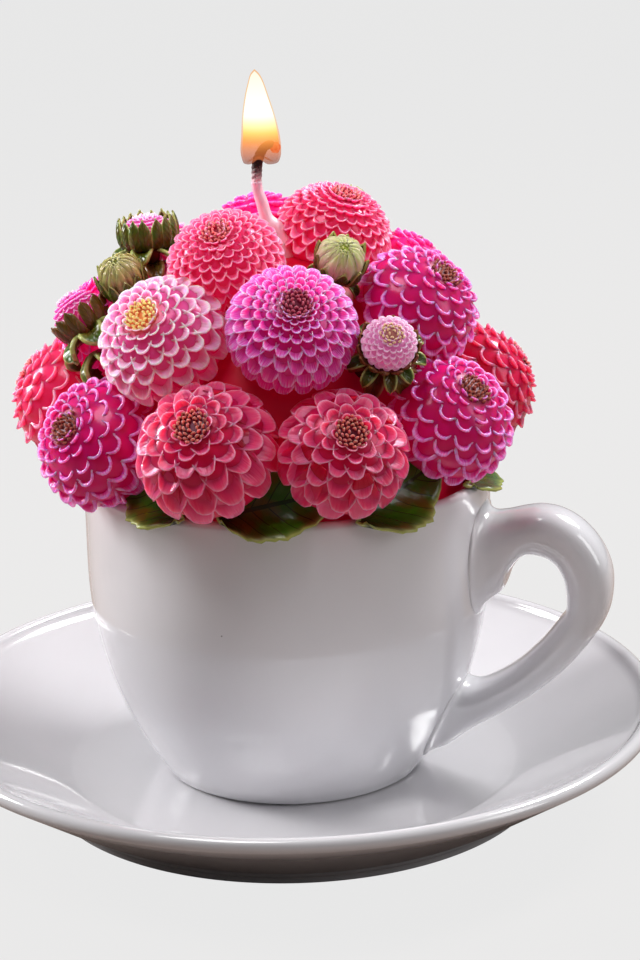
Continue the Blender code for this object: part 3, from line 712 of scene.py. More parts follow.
def handle_grid():
    """Rings of points along the strap."""
    rings = []
    power = 2.0 / HANDLE_SQUARENESS
    for outer_x, outer_z, inner_x, inner_z, half_width in handle_stations():
        outer = np.array((outer_x, 0.0, outer_z))
        inner = np.array((inner_x, 0.0, inner_z))
        middle = (outer + inner) / 2
        half = (outer - inner) / 2
        ring = []
        for side in range(HANDLE_SIDES):
            angle = math.tau * side / HANDLE_SIDES
            across = math.copysign(abs(math.cos(angle)) ** power, math.cos(angle))
            along = math.copysign(abs(math.sin(angle)) ** power, math.sin(angle))
            point = middle + half * across + np.array((0.0, half_width * along, 0.0))
            ring.append(flare_at_wall(point, middle))
        rings.append(ring)
    return np.array(rings)


def tube_faces(rings, sides):
    """Faces round a grid of rings, with both ends closed."""
    faces = []
    for ring in range(rings - 1):
        for side in range(sides):
            after = (side + 1) % sides
            here = ring * sides
            faces.append((here + side, here + sides + side, here + sides + after, here + after))
    faces.append(tuple(range(sides)))
    faces.append(tuple(reversed(range((rings - 1) * sides, rings * sides))))
    return faces


def face_outwards(mesh):
    """Turn every face of a mesh outwards and shade it smooth."""
    bm = bmesh.new()
    bm.from_mesh(mesh)
    bmesh.ops.recalc_face_normals(bm, faces=bm.faces)
    bm.to_mesh(mesh)
    bm.free()
    mesh.shade_smooth()


rings = handle_grid()
handle_mesh = bpy.data.meshes.new("handle_strap")
handle_mesh.from_pydata(rings.reshape(-1, 3).tolist(), [], tube_faces(len(rings), HANDLE_SIDES))
face_outwards(handle_mesh)
print("handle rings:", len(rings))

# %% Join the handle to the cup


def joined_meshes(name, meshes):
    """One mesh of several."""
    bm = bmesh.new()
    for mesh in meshes:
        bm.from_mesh(mesh)
    joined = bpy.data.meshes.new(name)
    bm.to_mesh(joined)
    bm.free()
    joined.shade_smooth()
    return joined


whole_cup = joined_meshes("glazed_cup_and_handle", [cup_mesh, handle_mesh])
cup = new_piece("glazed_cup_and_handle", whole_cup, CUP_GLAZE, "porcelain", ["cup"])
print("cup and handle faces:", len(cup.data.polygons))

# %% [markdown]
# ## A sheet with a thickness
# A petal of cast wax is thin, but its edge is round, and that edge is what catches the
# light. So each sheet is a grid of points, a second grid behind it, and a row of points
# pushed a little outwards all round between them.

# %% Give a grid a thickness
EDGE_ROUND = 0.45
TINY = 1e-12


def sheet_faces(rows, columns):
    """Faces of a front grid, a back grid and the rounded edge between them."""
    wide = columns + 1
    count = (rows + 1) * wide
    faces = []
    for i in range(rows):
        for j in range(columns):
            a = i * wide + j
            faces.append((a, a + 1, a + wide + 1, a + wide))
            faces.append((count + a, count + a + wide, count + a + wide + 1, count + a + 1))
    loop = edge_loop(rows, columns)
    for k, here in enumerate(loop):
        after = loop[(k + 1) % len(loop)]
        mid = 2 * count + k
        mid_after = 2 * count + (k + 1) % len(loop)
        faces.append((here, mid, mid_after, after))
        faces.append((mid, count + here, count + after, mid_after))
    return faces


def edge_loop(rows, columns):
    """Indices of the points round the edge of a grid."""
    wide = columns + 1
    loop = list(range(wide))
    loop += [i * wide + columns for i in range(1, rows + 1)]
    loop += [rows * wide + j for j in range(columns - 1, -1, -1)]
    loop += [i * wide for i in range(rows - 1, 0, -1)]
    return loop


def thick_sheet(grid, thickness):
    """Points of a sheet: front grid, back grid, then the rounded edge."""
    rows, columns = grid.shape[0] - 1, grid.shape[1] - 1
    down = np.gradient(grid, axis=0)
    over = np.gradient(grid, axis=1)
    normal = np.cross(over, down)
    normal /= np.linalg.norm(normal, axis=2, keepdims=True) + TINY
    back = grid - normal * thickness
    middle = grid - normal * thickness / 2
    inner = np.clip(np.arange(rows + 1), 1, rows - 1)
    inner_columns = np.clip(np.arange(columns + 1), 1, columns - 1)
    outward = middle - middle[inner][:, inner_columns]
    outward /= np.linalg.norm(outward, axis=2, keepdims=True) + TINY
    loop = edge_loop(rows, columns)
    edge = (middle + outward * thickness * EDGE_ROUND).reshape(-1, 3)[loop]
    return np.vstack((grid.reshape(-1, 3), back.reshape(-1, 3), edge))


def sheet_marks(values, rows, columns):
    """Repeat the marks of a front grid for its back and its edge."""
    flat = values.reshape(-1)
    return np.concatenate((flat, flat, flat[edge_loop(rows, columns)]))


print("faces of a petal of 7 by 6:", len(sheet_faces(7, 6)))

# %% [markdown]
# ## Carved wax
# The flowers are cast in tinted wax. Light goes into wax and comes out again a few
# millimetres away. The dark red deep between petals is painted shade, and a faint painted
# glow in that red stands in for light that seeps through. Thin edges are pale, partly as
# painted highlight, with painted highlight dashes near the rim. The marks on each petal drive
# this: how near its rim a point is, how far along the petal, and how near the eye of the
# flower. Fine streaks run along each petal, as in the moulds that were taken from real flowers.

# %% Draw streaks along a petal
STREAK_LENGTH = 1.1
STREAK_CHANCE = 31.0


def streaks_along(nodes, links, fineness):
    """Fine streaks that run along a petal, different on each."""
    spread = nodes.new("ShaderNodeCombineXYZ")
    for name, axis, scale in (("across", "X", fineness), ("along", "Y", STREAK_LENGTH),
                              ("chance", "Z", STREAK_CHANCE)):
        links.new(do_math(nodes, links, "MULTIPLY", mark(nodes, name), scale), spread.inputs[axis])
    return noise(nodes, links, 1.6, 2.0, spread.outputs["Vector"])


print("streaks change from petal to petal by", STREAK_CHANCE)

# %% Mix the wax of the flowers
CLOUD_SCALE = 130.0
CLOUD_SHARE = 0.35
RIM_LINE_POWER = 13.0
RIM_FADE_POWER = 4.0
WAX_ROUGHNESS = 0.17
EYE_DULLNESS = 0.25


def petal_wax(name, deep, body, face, rim, eye, tip, streaks=0.2, fineness=4.2, glow=0.16,
              lines=0.42, seep=(1.0, 0.12, 0.20), seep_share=0.85, eye_seep=1.0):
    """Wax of one flower: darker between petals as painted shade, bright on the face, pale on the
    rim partly as painted highlight, and with a painted glow. The rods of its eye are dark with pale
    tips."""
    material, nodes, links, shader = new_finish(name)
    # Darker towards each petal's claw: painted shade where rows of petals overlap. On the shut buds the
    # green at the foot is their own colour.
    tone_with_painted_shade = ramp_of(nodes, links, mark(nodes, "along"), ((0.15, deep), (0.55, body), (1.0, face)))
    cloud = do_math(nodes, links, "MULTIPLY", cloud_over(nodes, links, CLOUD_SCALE, 2.0), CLOUD_SHARE)
    clouded = blend_colours(nodes, links, cloud, tone_with_painted_shade, deep)
    streak = streaks_along(nodes, links, fineness)
    streak_share = ramp_of(nodes, links, streak, ((0.44, grey(0)), (0.60, grey(1))))
    # Pale rim line, partly the thin wax's own paleness and partly painted highlight; the pale dashes
    # near the rim are painted highlight.
    line = do_math(nodes, links, "POWER", mark(nodes, "rim"), RIM_LINE_POWER)
    near_rim = do_math(nodes, links, "POWER", mark(nodes, "rim"), RIM_FADE_POWER)
    streak_highlight = do_math(nodes, links, "MULTIPLY", streak_share, near_rim)
    pale = do_math(nodes, links, "MULTIPLY_ADD", streak_highlight, streaks,
                   do_math(nodes, links, "MULTIPLY", line, lines))
    pale.node.use_clamp = True
    coloured = blend_colours(nodes, links, pale, clouded, rim)
    rod = ramp_of(nodes, links, mark(nodes, "along"), ((0.86, eye), (1.0, tip)))
    final = blend_colours(nodes, links, mark(nodes, "eye"), coloured, rod)
    links.new(final, shader.inputs["Base Color"])
    less = do_math(nodes, links, "MULTIPLY", mark(nodes, "eye"), 1.0 - eye_seep)
    within = do_math(nodes, links, "SUBTRACT", 1.0, less)
    links.new(do_math(nodes, links, "MULTIPLY", within, seep_share),
              shader.inputs["Subsurface Weight"])
    links.new(do_math(nodes, links, "MULTIPLY_ADD", mark(nodes, "eye"), EYE_DULLNESS, WAX_ROUGHNESS),
              shader.inputs["Roughness"])
    # The emission in the deep red is a painted glow, standing in for light that seeps through the wax.
    set_inputs(shader, {"Subsurface Radius": seep, "Subsurface Scale": 3.5 * MM,
                        "Specular IOR Level": 0.50, "Specular Tint": paint(255, 196, 226),
                        "Emission Color": deep, "Emission Strength": glow})
    bumped(nodes, links, streak, 0.6, 0.25 * MM, shader)
    return material


MAROON = paint(46, 6, 16)
BEIGE = paint(216, 138, 120)
CREAM_SEEP = (0.7, 0.55, 0.4)

# The six colours of a wax are: deep (painted shade, and the colour of its painted glow), body, face, rim
# (partly painted highlight), eye, tips of the eye's rods
WAXES = {
    "coral": petal_wax("coral_petals", paint(190, 4, 42), paint(250, 30, 96),
                       paint(255, 76, 132), paint(255, 188, 208), MAROON, BEIGE, glow=0.07),
    "scarlet": petal_wax("scarlet_petals", paint(214, 12, 60), paint(252, 64, 126),
                         paint(255, 112, 162), paint(255, 196, 210), paint(110, 16, 30),
                         paint(214, 120, 110), glow=0.15, seep=(1.0, 0.18, 0.28)),
    "magenta": petal_wax("magenta_petals", paint(182, 4, 60), paint(236, 26, 136),
                         paint(255, 66, 196), paint(255, 186, 242), paint(36, 34, 14),
                         paint(150, 96, 70), streaks=0.5, glow=0.09, eye_seep=0.2),
    "fringed": petal_wax("fringed_petals", paint(188, 6, 76), paint(250, 36, 164),
                         paint(255, 84, 206), paint(255, 190, 244), paint(70, 20, 26),
                         paint(196, 104, 120), streaks=1.0, fineness=5.0, glow=0.09, eye_seep=0.3),
    "hot_pink": petal_wax("hot_pink_petals", paint(232, 8, 100), paint(255, 30, 150),
                          paint(255, 70, 186), paint(255, 170, 236), paint(150, 40, 60),
                          paint(240, 150, 170), streaks=0.4),
    "pale_pink": petal_wax("pale_pink_petals", paint(200, 10, 76), paint(255, 104, 180),
                           paint(255, 200, 240), paint(255, 240, 252), paint(236, 150, 70),
                           paint(255, 244, 150), streaks=0.6, glow=0.12, lines=0.55,
                           seep=(1.0, 0.24, 0.42), eye_seep=0.4),
    "lilac": petal_wax("lilac_bud", paint(206, 100, 156), paint(246, 156, 214),
                       paint(254, 200, 242), paint(255, 238, 252), paint(150, 104, 44),
                       paint(250, 226, 150), seep=(1.0, 0.4, 0.5), seep_share=0.6, eye_seep=0.4),
    "bright_bud": petal_wax("bright_bud", paint(212, 30, 116), paint(240, 84, 172),
                            paint(252, 126, 208), paint(255, 206, 246), paint(220, 90, 170),
                            paint(255, 200, 250), seep=(1.0, 0.3, 0.5)),
    "cream": petal_wax("cream_bud", paint(180, 196, 84), paint(238, 216, 178), paint(250, 206, 204),
                       paint(255, 244, 226), paint(160, 176, 56), paint(240, 238, 160),
                       streaks=0.5, glow=0.03, seep=CREAM_SEEP, seep_share=0.4),
    "olive": petal_wax("olive_bud", paint(64, 36, 20), paint(106, 78, 44), paint(194, 188, 108),
                       paint(232, 222, 160), paint(110, 116, 30), paint(240, 238, 160),
                       streaks=0.5, glow=0.03, seep=CREAM_SEEP, seep_share=0.4),
}
print("wax finishes:", sorted(WAXES))

# %% [markdown]
# ## One petal
# A petal of a ball dahlia is a small spoon. It starts as a narrow claw deep in the flower,
# widens, and ends in a round bowl that is hollow towards the viewer. The grid below is that
# spoon, lying along y and hollow towards z. The end of the grid is bent to a half circle, so
# that no face is pinched there.

# %% Shape a petal
CLAW_SHARE = 0.42
BELLY_SHARE = 0.55
ROW_CROWDING = 0.85
END_ROUNDNESS = 0.97
END_NARROWING = 0.16
CUP_CURVE = 1.5
CLAW_HOLLOW = 0.35


def petal_grid(length, width, hollow, bend, rows, columns, pinch=0.0):
    """A spoon of the given length and width, its rim raised by the hollow, its claw bent down
    as on a ball of the radius of the bend."""
    u = np.linspace(-1.0, 1.0, columns + 1)[None, :]
    v = np.linspace(0.0, 1.0, rows + 1)[:, None] ** ROW_CROWDING
    swell = np.sin(np.clip(v / BELLY_SHARE, 0.0, 1.0) * math.pi / 2)
    half = width / 2 * (CLAW_SHARE + (1.0 - CLAW_SHARE) * swell)
    end = np.clip((v - BELLY_SHARE) / (1.0 - BELLY_SHARE), 0.0, 1.0)
    round_off = width / 2 * (1.0 - np.sqrt(1.0 - END_ROUNDNESS * u * u)) * v ** 2
    peak = width / 2 * pinch * (1.0 - np.abs(u)) * end ** 2
    bowl = u * u + end * end - u * u * end * end
    x = u * half * (1.0 - END_NARROWING * end)
    y = length * v - round_off + peak
    deepening = CLAW_HOLLOW + (1.0 - CLAW_HOLLOW) * np.clip(v / BELLY_SHARE, 0, 1)
    z = hollow * bowl ** CUP_CURVE * deepening
    z = z - (length - y) ** 2 / (2 * bend)
    grid = np.stack((x, y, z), axis=2)
    edge = np.clip(np.maximum(np.abs(u) * np.clip(v * 1.3, 0, 1), end), 0, 1)
    return grid, edge, v + 0 * u, u + 0 * v


print("petal grid:", petal_grid(8 * MM, 5 * MM, 1.5 * MM, 14 * MM, 7, 6)[0].shape)

# %% [markdown]
# ## Where the flowers sit
# Each flower has a seat on the dome, given by an azimuth and an elevation, and a direction
# that its face looks in. The flowers near the camera look towards it, so their faces turn a
# little away from the dome's own slope. The list is the same as the solids' own, in degrees
# and in shares of the flower's radius. The last words say which kind of dahlia it is.

# %% List the flowers
HEAD_RADIUS = 0.3222 * RIM_RADIUS
HEAD_RISE_SHARE = 0.84
HEAD_SEAT = 0.38 * HEAD_RADIUS

# Name, azimuth and elevation of the seat, turn and elevation of the face, stand share,
# size share, kind, wax, slot
BLOOM_SHARES = (
    ("crown_front", -112.0, 63.0, 20.0, 56.0, 1.0, 0.88, "pompon", "scarlet", "coral"),
    ("crown_right", 40.0, 72.0, -60.0, 68.0, 1.0, 0.90, "pompon", "scarlet", "coral"),
    ("crown_back", 122.0, 62.0, 0.0, 64.0, 0.9, 0.86, "ball", "hot_pink", "hot_pink"),
    ("upper_front", -69.0, 41.5, 4.0, 42.0, 1.0, 0.97, "fringed", "fringed", "magenta"),
    ("upper_left", -118.0, 36.5, 14.0, 41.0, 1.0, 0.99, "soft", "pale_pink", "pale_pink"),
    ("upper_right", -7.0, 42.0, -8.0, 48.0, 1.0, 0.95, "ball", "magenta", "magenta"),
    ("upper_back_right", 46.0, 44.0, 0.0, 50.0, 0.8, 0.88, "ball", "hot_pink", "hot_pink"),
    ("upper_back", 92.0, 42.0, 0.0, 47.0, 1.0, 0.97, "pompon", "scarlet", "coral"),
    ("upper_back_left", 137.0, 41.0, 0.0, 46.0, 1.0, 0.96, "soft", "pale_pink", "pale_pink"),
    ("behind_buds", 176.0, 49.0, 0.0, 52.0, 1.0, 0.84, "soft", "pale_pink", "pale_pink"),
    ("far_left", 198.0, 33.0, 0.0, 40.0, 1.3, 0.88, "fringed", "hot_pink", "magenta"),
    ("lower_left", -134.0, 11.0, 15.0, 30.0, 1.0, 1.01, "ball", "magenta", "magenta"),
    ("lower_front_left", -93.5, 14.0, 2.0, 42.0, 1.0, 1.06, "open", "coral", "coral"),
    ("lower_front_right", -57.0, 13.5, -3.0, 39.0, 1.0, 0.97, "open", "coral", "coral"),
    ("lower_right", -20.0, 16.0, -9.0, 46.0, 1.0, 0.99, "ball", "magenta", "magenta"),
    ("lower_handle", 24.0, 16.0, 0.0, 30.0, 1.1, 0.96, "ball", "coral", "coral"),
    ("lower_back_a", 60.0, 14.0, 0.0, 38.0, 1.0, 0.98, "soft", "pale_pink", "pale_pink"),
    ("lower_back_b", 95.0, 13.5, 0.0, 38.0, 1.0, 1.00, "ball", "magenta", "magenta"),
    ("lower_back_c", 129.0, 14.0, 0.0, 38.0, 1.0, 0.97, "open", "coral", "coral"),
    ("lower_back_d", 161.0, 13.5, 0.0, 38.0, 1.0, 0.97, "ball", "magenta", "magenta"),
    ("lower_far_left", 196.0, 15.0, 0.0, 32.0, 1.8, 0.97, "ball", "scarlet", "coral"),
)


def direction(azimuth, elevation):
    """Unit direction of an azimuth and elevation given in degrees."""
    level = math.cos(math.radians(elevation))
    return Vector((level * math.cos(math.radians(azimuth)),
                   level * math.sin(math.radians(azimuth)),
                   math.sin(math.radians(elevation))))


def dome_seat(axis):
    """The point of the dome where its surface faces along an axis."""
    reach = math.hypot(DOME_RADIUS * math.hypot(axis.x, axis.y), DOME_RISE * axis.z)
    return DOME_CENTRE + Vector((DOME_RADIUS ** 2 * axis.x / reach,
                                 DOME_RADIUS ** 2 * axis.y / reach,
                                 DOME_RISE ** 2 * axis.z / reach))


def face_axes(face):
    """Two directions square to the one that a flower or a bud looks in, and that one."""
    side = face.cross(Vector((0.0, 0.0, 1.0))).normalized()
    up = side.cross(face).normalized()
    return np.array(side), np.array(up), np.array(face)


print("flowers:", len(BLOOM_SHARES))

# %% [markdown]
# ## The kinds of dahlia
# Five kinds show. The open kind has long, flat petals. The ball kind has big round cups set
# apart on a smooth ground. The fringed kind is crowded with narrow petals. The pompon is
# scaled like a cone, and the soft kind has a yellow eye. One function makes them all: each
# row of petals has its own angle from the eye, the petals grow wider from row to row, and
# each row is turned by half a petal against the last.

# %% Describe the kinds

# Each pair is for the first row and for the last row. angles: of the rows, in degrees from
# the eye. width, length: in head radii. hollow, skin: in widths. lie: degrees that a petal
# stands up. overlap: how closely a row is filled. fine: steps of a petal's grid. eye_near:
# how far the first rows take the eye's colour. body: size of the round behind the petals.
# slip: degrees by which a petal leaves its row
KINDS = {
    "open": dict(angles=(17, 28, 43, 61, 82, 103), width=(0.19, 0.44), overlap=0.88,
                 lie=(40, 13), length=(0.32, 0.74), hollow=(0.18, 0.07), skin=0.07, fine=(8, 6),
                 eye_near=0.6),
    "ball": dict(angles=(14, 22, 32, 45, 60, 77, 95, 112), width=(0.16, 0.36), overlap=0.76,
                 lie=(52, 29), length=(0.26, 0.44), hollow=(0.26, 0.30), skin=0.14, fine=(7, 6),
                 eye_near=0.6, body=0.925, slip=2.6),
    "fringed": dict(angles=(14, 20, 28, 38, 51, 67, 85, 104), width=(0.08, 0.30), overlap=1.0,
                    lie=(62, 14), length=(0.26, 0.56), hollow=(0.26, 0.15), skin=0.09,
                    fine=(6, 5), eye_near=0.6),
    "pompon": dict(angles=(9, 17, 26, 36, 47, 59, 72, 86, 101), width=(0.11, 0.27),
                   overlap=0.94, lie=(50, 24), length=(0.20, 0.38), hollow=(0.26, 0.28),
                   skin=0.12, fine=(5, 4), eye_near=0.6),
    "soft": dict(angles=(16, 25, 36, 50, 66, 84, 104), width=(0.15, 0.37), overlap=0.92,
                 lie=(50, 18), length=(0.28, 0.56), hollow=(0.22, 0.20), skin=0.11, fine=(7, 6),
                 eye_near=0.9),
}
EYE_ANGLE = 14.0
EYE_FLORETS = 42
BODY_SHARE = 0.90
JITTER = math.radians(4.0)
WIDTH_CURVE = 0.7
PLACE_WANDER = 0.06
SIZE_WANDER = 0.06
SLIP = 1.2


def petal_places(kind, rng):
    """Row share, polar angle, turn and width share for every petal of one flower."""
    angles = kind["angles"]
    slip = kind.get("slip", SLIP)
    for row, angle in enumerate(angles):
        share = row / (len(angles) - 1)
        wide, wider = kind["width"]
        width = wide + (wider - wide) * share ** WIDTH_CURVE
        circle = math.tau * math.sin(math.radians(min(angle, 90.0)))
        count = round(circle * kind["overlap"] / width)
        for place in range(count):
            wander = rng.uniform(-PLACE_WANDER, PLACE_WANDER)
            turn = math.tau * (place + (row % 2) / 2 + wander) / count
            slipped = angle + rng.uniform(-slip, slip)
            yield share, slipped, turn, width * rng.uniform(1.0 - SIZE_WANDER, 1.0 + SIZE_WANDER)


def on_head(centre, axes, radius, rise, angle, turn):
    """Point, outward normal and downhill direction on the round of a flower."""
    side, up, face = axes
    level = side * math.cos(turn) + up * math.sin(turn)
    polar = math.radians(angle)
    point = centre + level * radius * math.sin(polar) + face * rise * math.cos(polar)
    downhill = level * radius * math.cos(polar) - face * rise * math.sin(polar)
    downhill /= np.linalg.norm(downhill)
    normal = level * math.sin(polar) / radius + face * math.cos(polar) / rise
    normal /= np.linalg.norm(normal)
    return point, normal, downhill


for kind_name, kind in KINDS.items():
    print(kind_name, "petals:", len(list(petal_places(kind, random.Random(0)))))

# %% Keep the wax on the cup and off the wick
WICK_ROUTE = np.array(((0.0, 0.0, 0.0), (0.0, 0.0, DOME_TOP),
                       (-1.5 * MM, -0.5 * MM, DOME_TOP + 8 * MM),
                       (-4.6 * MM, -1.5 * MM, DOME_TOP + 14 * MM),
                       (-4.6 * MM, -1.5 * MM, DOME_TOP + 22 * MM)))
WICK_ROOM = 2.4 * MM
RIM_CLEAR = 0.4 * MM
RIM_SLOPE = 0.5


def settle(points):
    """Lift points that would sink through the cup's rim, and push points off the wick."""
    level = np.hypot(points[:, 0], points[:, 1])
    floor = RIM_TOP + RIM_CLEAR - np.clip(level - RIM_RADIUS, 0, None) * RIM_SLOPE
    over = level > DOME_RADIUS - 1.0 * MM
    points[:, 2] = np.where(over, np.maximum(points[:, 2], floor), points[:, 2])
    near = points[:, 2] > DOME_TOP - 2.0 * MM
    for axis in (0, 1):
        points[near, axis] -= np.interp(points[near, 2], WICK_ROUTE[:, 2], WICK_ROUTE[:, axis])
    away = np.hypot(points[near, 0], points[near, 1]) + 1e-9
    points[near, :2] *= np.maximum(1.0, WICK_ROOM / away)[:, None]
    for axis in (0, 1):
        points[near, axis] += np.interp(points[near, 2], WICK_ROUTE[:, 2], WICK_ROUTE[:, axis])
    return points


print("room round the wick in mm:", WICK_ROOM / MM)

# %% Place one petal
TIP_DROP = 0.8


def curve_radius(radius, rise, angle):
    """Radius of the curve that runs from the eye down to the back, at an angle from the eye."""
    polar = math.radians(angle)
    return math.hypot(radius * math.cos(polar), rise * math.sin(polar)) ** 3 / (radius * rise)


def add_spoon(gather, tip, lie, length, width, hollow, bend, skin, fine, chance, eye, pinch=0.0):
    """One petal with its tip at a place of (point, normal, downhill), lying at an angle."""
    point, normal, downhill = tip
    along = downhill * math.cos(lie) + normal * math.sin(lie)
    hollow_side = normal * math.cos(lie) - downhill * math.sin(lie)
    across = np.cross(along, hollow_side)
    grid, edge, reach, over = petal_grid(length, width, hollow, bend, *fine, pinch=pinch)
    base = point - along * length - hollow_side * hollow * TIP_DROP
    world = base + grid[..., :1] * across + grid[..., 1:2] * along + grid[..., 2:] * hollow_side
    if eye < 1.0:
        eye = eye * (1.0 - sheet_marks(reach, *fine) ** 3)
    gather.add(settle(thick_sheet(world, skin)), sheet_faces(*fine),
               rim=sheet_marks(edge, *fine), along=sheet_marks(reach, *fine),
               across=sheet_marks(over, *fine), chance=chance, eye=eye)


print("curve at the eye in head radii:", round(curve_radius(1.0, HEAD_RISE_SHARE, 0.0), 2))

# %% Lay the rows of petals
TIP_SINK = 0.985
LIE_CURVE = 0.6
EYE_FADE = 4.0
CLAW_REACH = 0.4
THINNEST = 0.25 * MM


def between(pair, share):
    """The value that lies a share of the way from one to the other."""
    return pair[0] + (pair[1] - pair[0]) * share


def add_rows(gather, centre, axes, radius, rise, kind, rng, eye_near=0.0):
    """All rows of petals round a head or a bud."""
    for share, angle, turn, width_share in petal_places(kind, rng):
        width = radius * width_share
        length = radius * between(kind["length"], share)
        hollow = width * between(kind["hollow"], share)
        lie = math.radians(between(kind["lie"], share ** LIE_CURVE))
        lie += rng.uniform(-JITTER, JITTER)
        tip = on_head(centre, axes, radius * TIP_SINK, rise * TIP_SINK, angle, turn)
        eye = eye_near * max(0.0, 1.0 - share * EYE_FADE)
        bend = curve_radius(radius, rise, angle - math.degrees(CLAW_REACH * length / radius))
        skin = max(THINNEST, width * kind["skin"])
        add_spoon(gather, tip, lie, length, width, hollow, bend, skin, kind["fine"], rng.random(), eye)


print("thinnest petal in mm:", THINNEST / MM)

# %% Set the eye and the round behind the petals
GOLDEN_TURN = math.pi * (3.0 - math.sqrt(5.0))
FLORET_LENGTH = 0.20
FLORET_FINE = (4, 2)
ROUND_SIDES = 28
ROUND_RINGS = 16
EYE_GROUND_ANGLE = EYE_ANGLE + 6.0
EYE_GROUND_EDGE = 40.0


def add_eye(gather, centre, axes, radius, rise, rng, spread, florets, rod=0.048):
    """The tight young petals in the middle, set in a sunflower spiral."""
    for number in range(florets):
        angle = spread * math.sqrt((number + 0.5) / florets)
        turn = number * GOLDEN_TURN
        tip = on_head(centre, axes, radius, rise * (0.95 + 0.03 * rng.random()), angle, turn)
        length = radius * FLORET_LENGTH * rng.uniform(0.85, 1.15)
        width = radius * rod
        lie = math.radians(90.0 - angle * 0.4)
        add_spoon(gather, tip, lie, length, width, width * 0.2, radius, width * 0.7, FLORET_FINE,
                  rng.random(), 1.0, pinch=0.3)


def unit_round():
    """Points and faces of a round of radius 1. It is spun from its bottom up, since the axes
    of a flower are those of a mirror, and there this turns its faces outwards."""
    sides = arc((0.0, 0.0), (1.0, 1.0), -90.0, 90.0, ROUND_RINGS + 1)[1:-1]
    mesh = turned_mesh("unit_round", [(0.0, -1.0)] + sides + [(0.0, 1.0)], ROUND_SIDES)
    points = np.array([vert.co for vert in mesh.vertices])
    faces = [list(polygon.vertices) for polygon in mesh.polygons]
    bpy.data.meshes.remove(mesh)
    return points, faces


ROUND_POINTS, ROUND_FACES = unit_round()


def add_round(gather, centre, axes, radius, rise, along=0.42):
    """A plain round of wax behind the petals, so that no gap shows through."""
    side, up, face = axes
    points = ROUND_POINTS
    world = centre + points[:, :1] * side * radius + points[:, 1:2] * up * radius
    world = world + points[:, 2:] * face * rise
    inside = points[:, 2] - math.cos(math.radians(EYE_GROUND_ANGLE))
    eye = np.clip(inside * EYE_GROUND_EDGE, 0.0, 1.0)
    gather.add(settle(world), ROUND_FACES, rim=0.0, along=along, across=0.0, chance=0.5, eye=eye)


print("turn from floret to floret in degrees:", round(math.degrees(GOLDEN_TURN), 1))

# %% Grow one flower


def grow_bloom(name, centre, face, radius, kind_name, seed):
    """All petals of one flower, its eye and the round of wax behind them."""
    rng = random.Random(seed)
    gather = Gather()
    axes = face_axes(face)
    rise = radius * HEAD_RISE_SHARE
    kind = KINDS[kind_name]
    add_rows(gather, centre, axes, radius, rise, kind, rng, kind["eye_near"])
    add_eye(gather, centre, axes, radius, rise, rng, EYE_ANGLE, EYE_FLORETS)
    body = kind.get("body", BODY_SHARE)
    add_round(gather, centre, axes, radius * body, rise * body)
    return gather.mesh(name)


print("rods in an eye:", EYE_FLORETS)

# %% Grow all the flowers
blooms = []
for seed, row in enumerate(BLOOM_SHARES):
    name, azimuth, elevation, turn, tilt, stand_share, size_share, kind, wax, slot = row
    axis = direction(azimuth, elevation)
    centre = np.array(dome_seat(axis) + axis * stand_share * HEAD_SEAT)
    mesh = grow_bloom("bloom_" + name, centre, direction(azimuth + turn, tilt),
                      size_share * HEAD_RADIUS, kind, seed)
    blooms.append(new_piece("bloom_" + name, mesh, WAXES[wax], slot + "_wax", ["dahlia_" + name]))
print("flower faces:", sum(len(bloom.data.polygons) for bloom in blooms))

# %% [markdown]
# ## The dome of poured wax
# Under the flowers the cup is full of crimson wax, which rises as a dome. Between the heads
# it shows as smooth dark red, brightened by a faint painted glow. It is a turned piece with a
# slow, uneven surface, as poured wax has where it set in stages.

# %% Pour the dome
WAX_DROP = 2.2 * MM
DOME_STEPS = 40
WALL_STEPS = 20
DOME_SIDES = 96


def core_wax():
    """Deep red poured wax, with a faint painted glow."""
    material, nodes, links, shader = new_finish("poured_wax")
    cloud = cloud_over(nodes, links, 60.0, 3.0)
    tone = ramp_of(nodes, links, cloud, ((0.35, paint(186, 12, 44)), (0.7, paint(214, 24, 70))))
    links.new(tone, shader.inputs["Base Color"])
    # The emission is a painted glow, standing in for light that seeps through the wax.
    set_inputs(shader, {"Subsurface Weight": 0.45, "Subsurface Radius": (1.0, 0.16, 0.25),
                        "Subsurface Scale": 3.0 * MM, "Roughness": 0.32,
                        "Specular IOR Level": 0.2, "Emission Color": paint(196, 4, 48),
                        "Emission Strength": 0.09})
    bumped(nodes, links, cloud, 0.4, 0.5 * MM, shader)
    return material


def dome_section():
    """From the top of the dome down to the ledge, the wall of the cup and its floor."""
    points = [(0.0, DOME_TOP)]
    for step in range(1, DOME_STEPS + 1):
        angle = math.pi / 2 * (1.0 - step / DOME_STEPS)
        points.append((DOME_RADIUS * math.cos(angle), RIM_TOP + DOME_RISE * math.sin(angle)))
    inside = CUP_BASE + CUP_FLOOR + GAP
    level = RIM_TOP - WAX_DROP
    points += [(DOME_RADIUS, level + 0.4 * MM), (DOME_RADIUS + 0.3 * MM, level)]
    for step in range(WALL_STEPS + 1):
        height = level - step / WALL_STEPS * (level - inside)
        points.append((cup_radius(height) - CUP_WALL - GAP, height))
    points.append((0.0, inside))
    return points


dome_mesh = turned_mesh("poured_dome", dome_section(), DOME_SIDES)
dome = new_piece("poured_dome", dome_mesh, core_wax(), "core_wax", ["wax_core"])
print("dome faces:", len(dome.data.polygons))

# %% [markdown]
# ## Sepals and bracts
# A bud stands in a whorl of narrow green sepals, and below them hang broad bracts. Each is a
# pointed blade that follows a curve: first the curve is drawn as radius and height about the
# middle of the bud, then the blade is laid along it and turned about the way the bud looks.
# The rows of the blade's grid crowd towards its point, so that the point stays round.

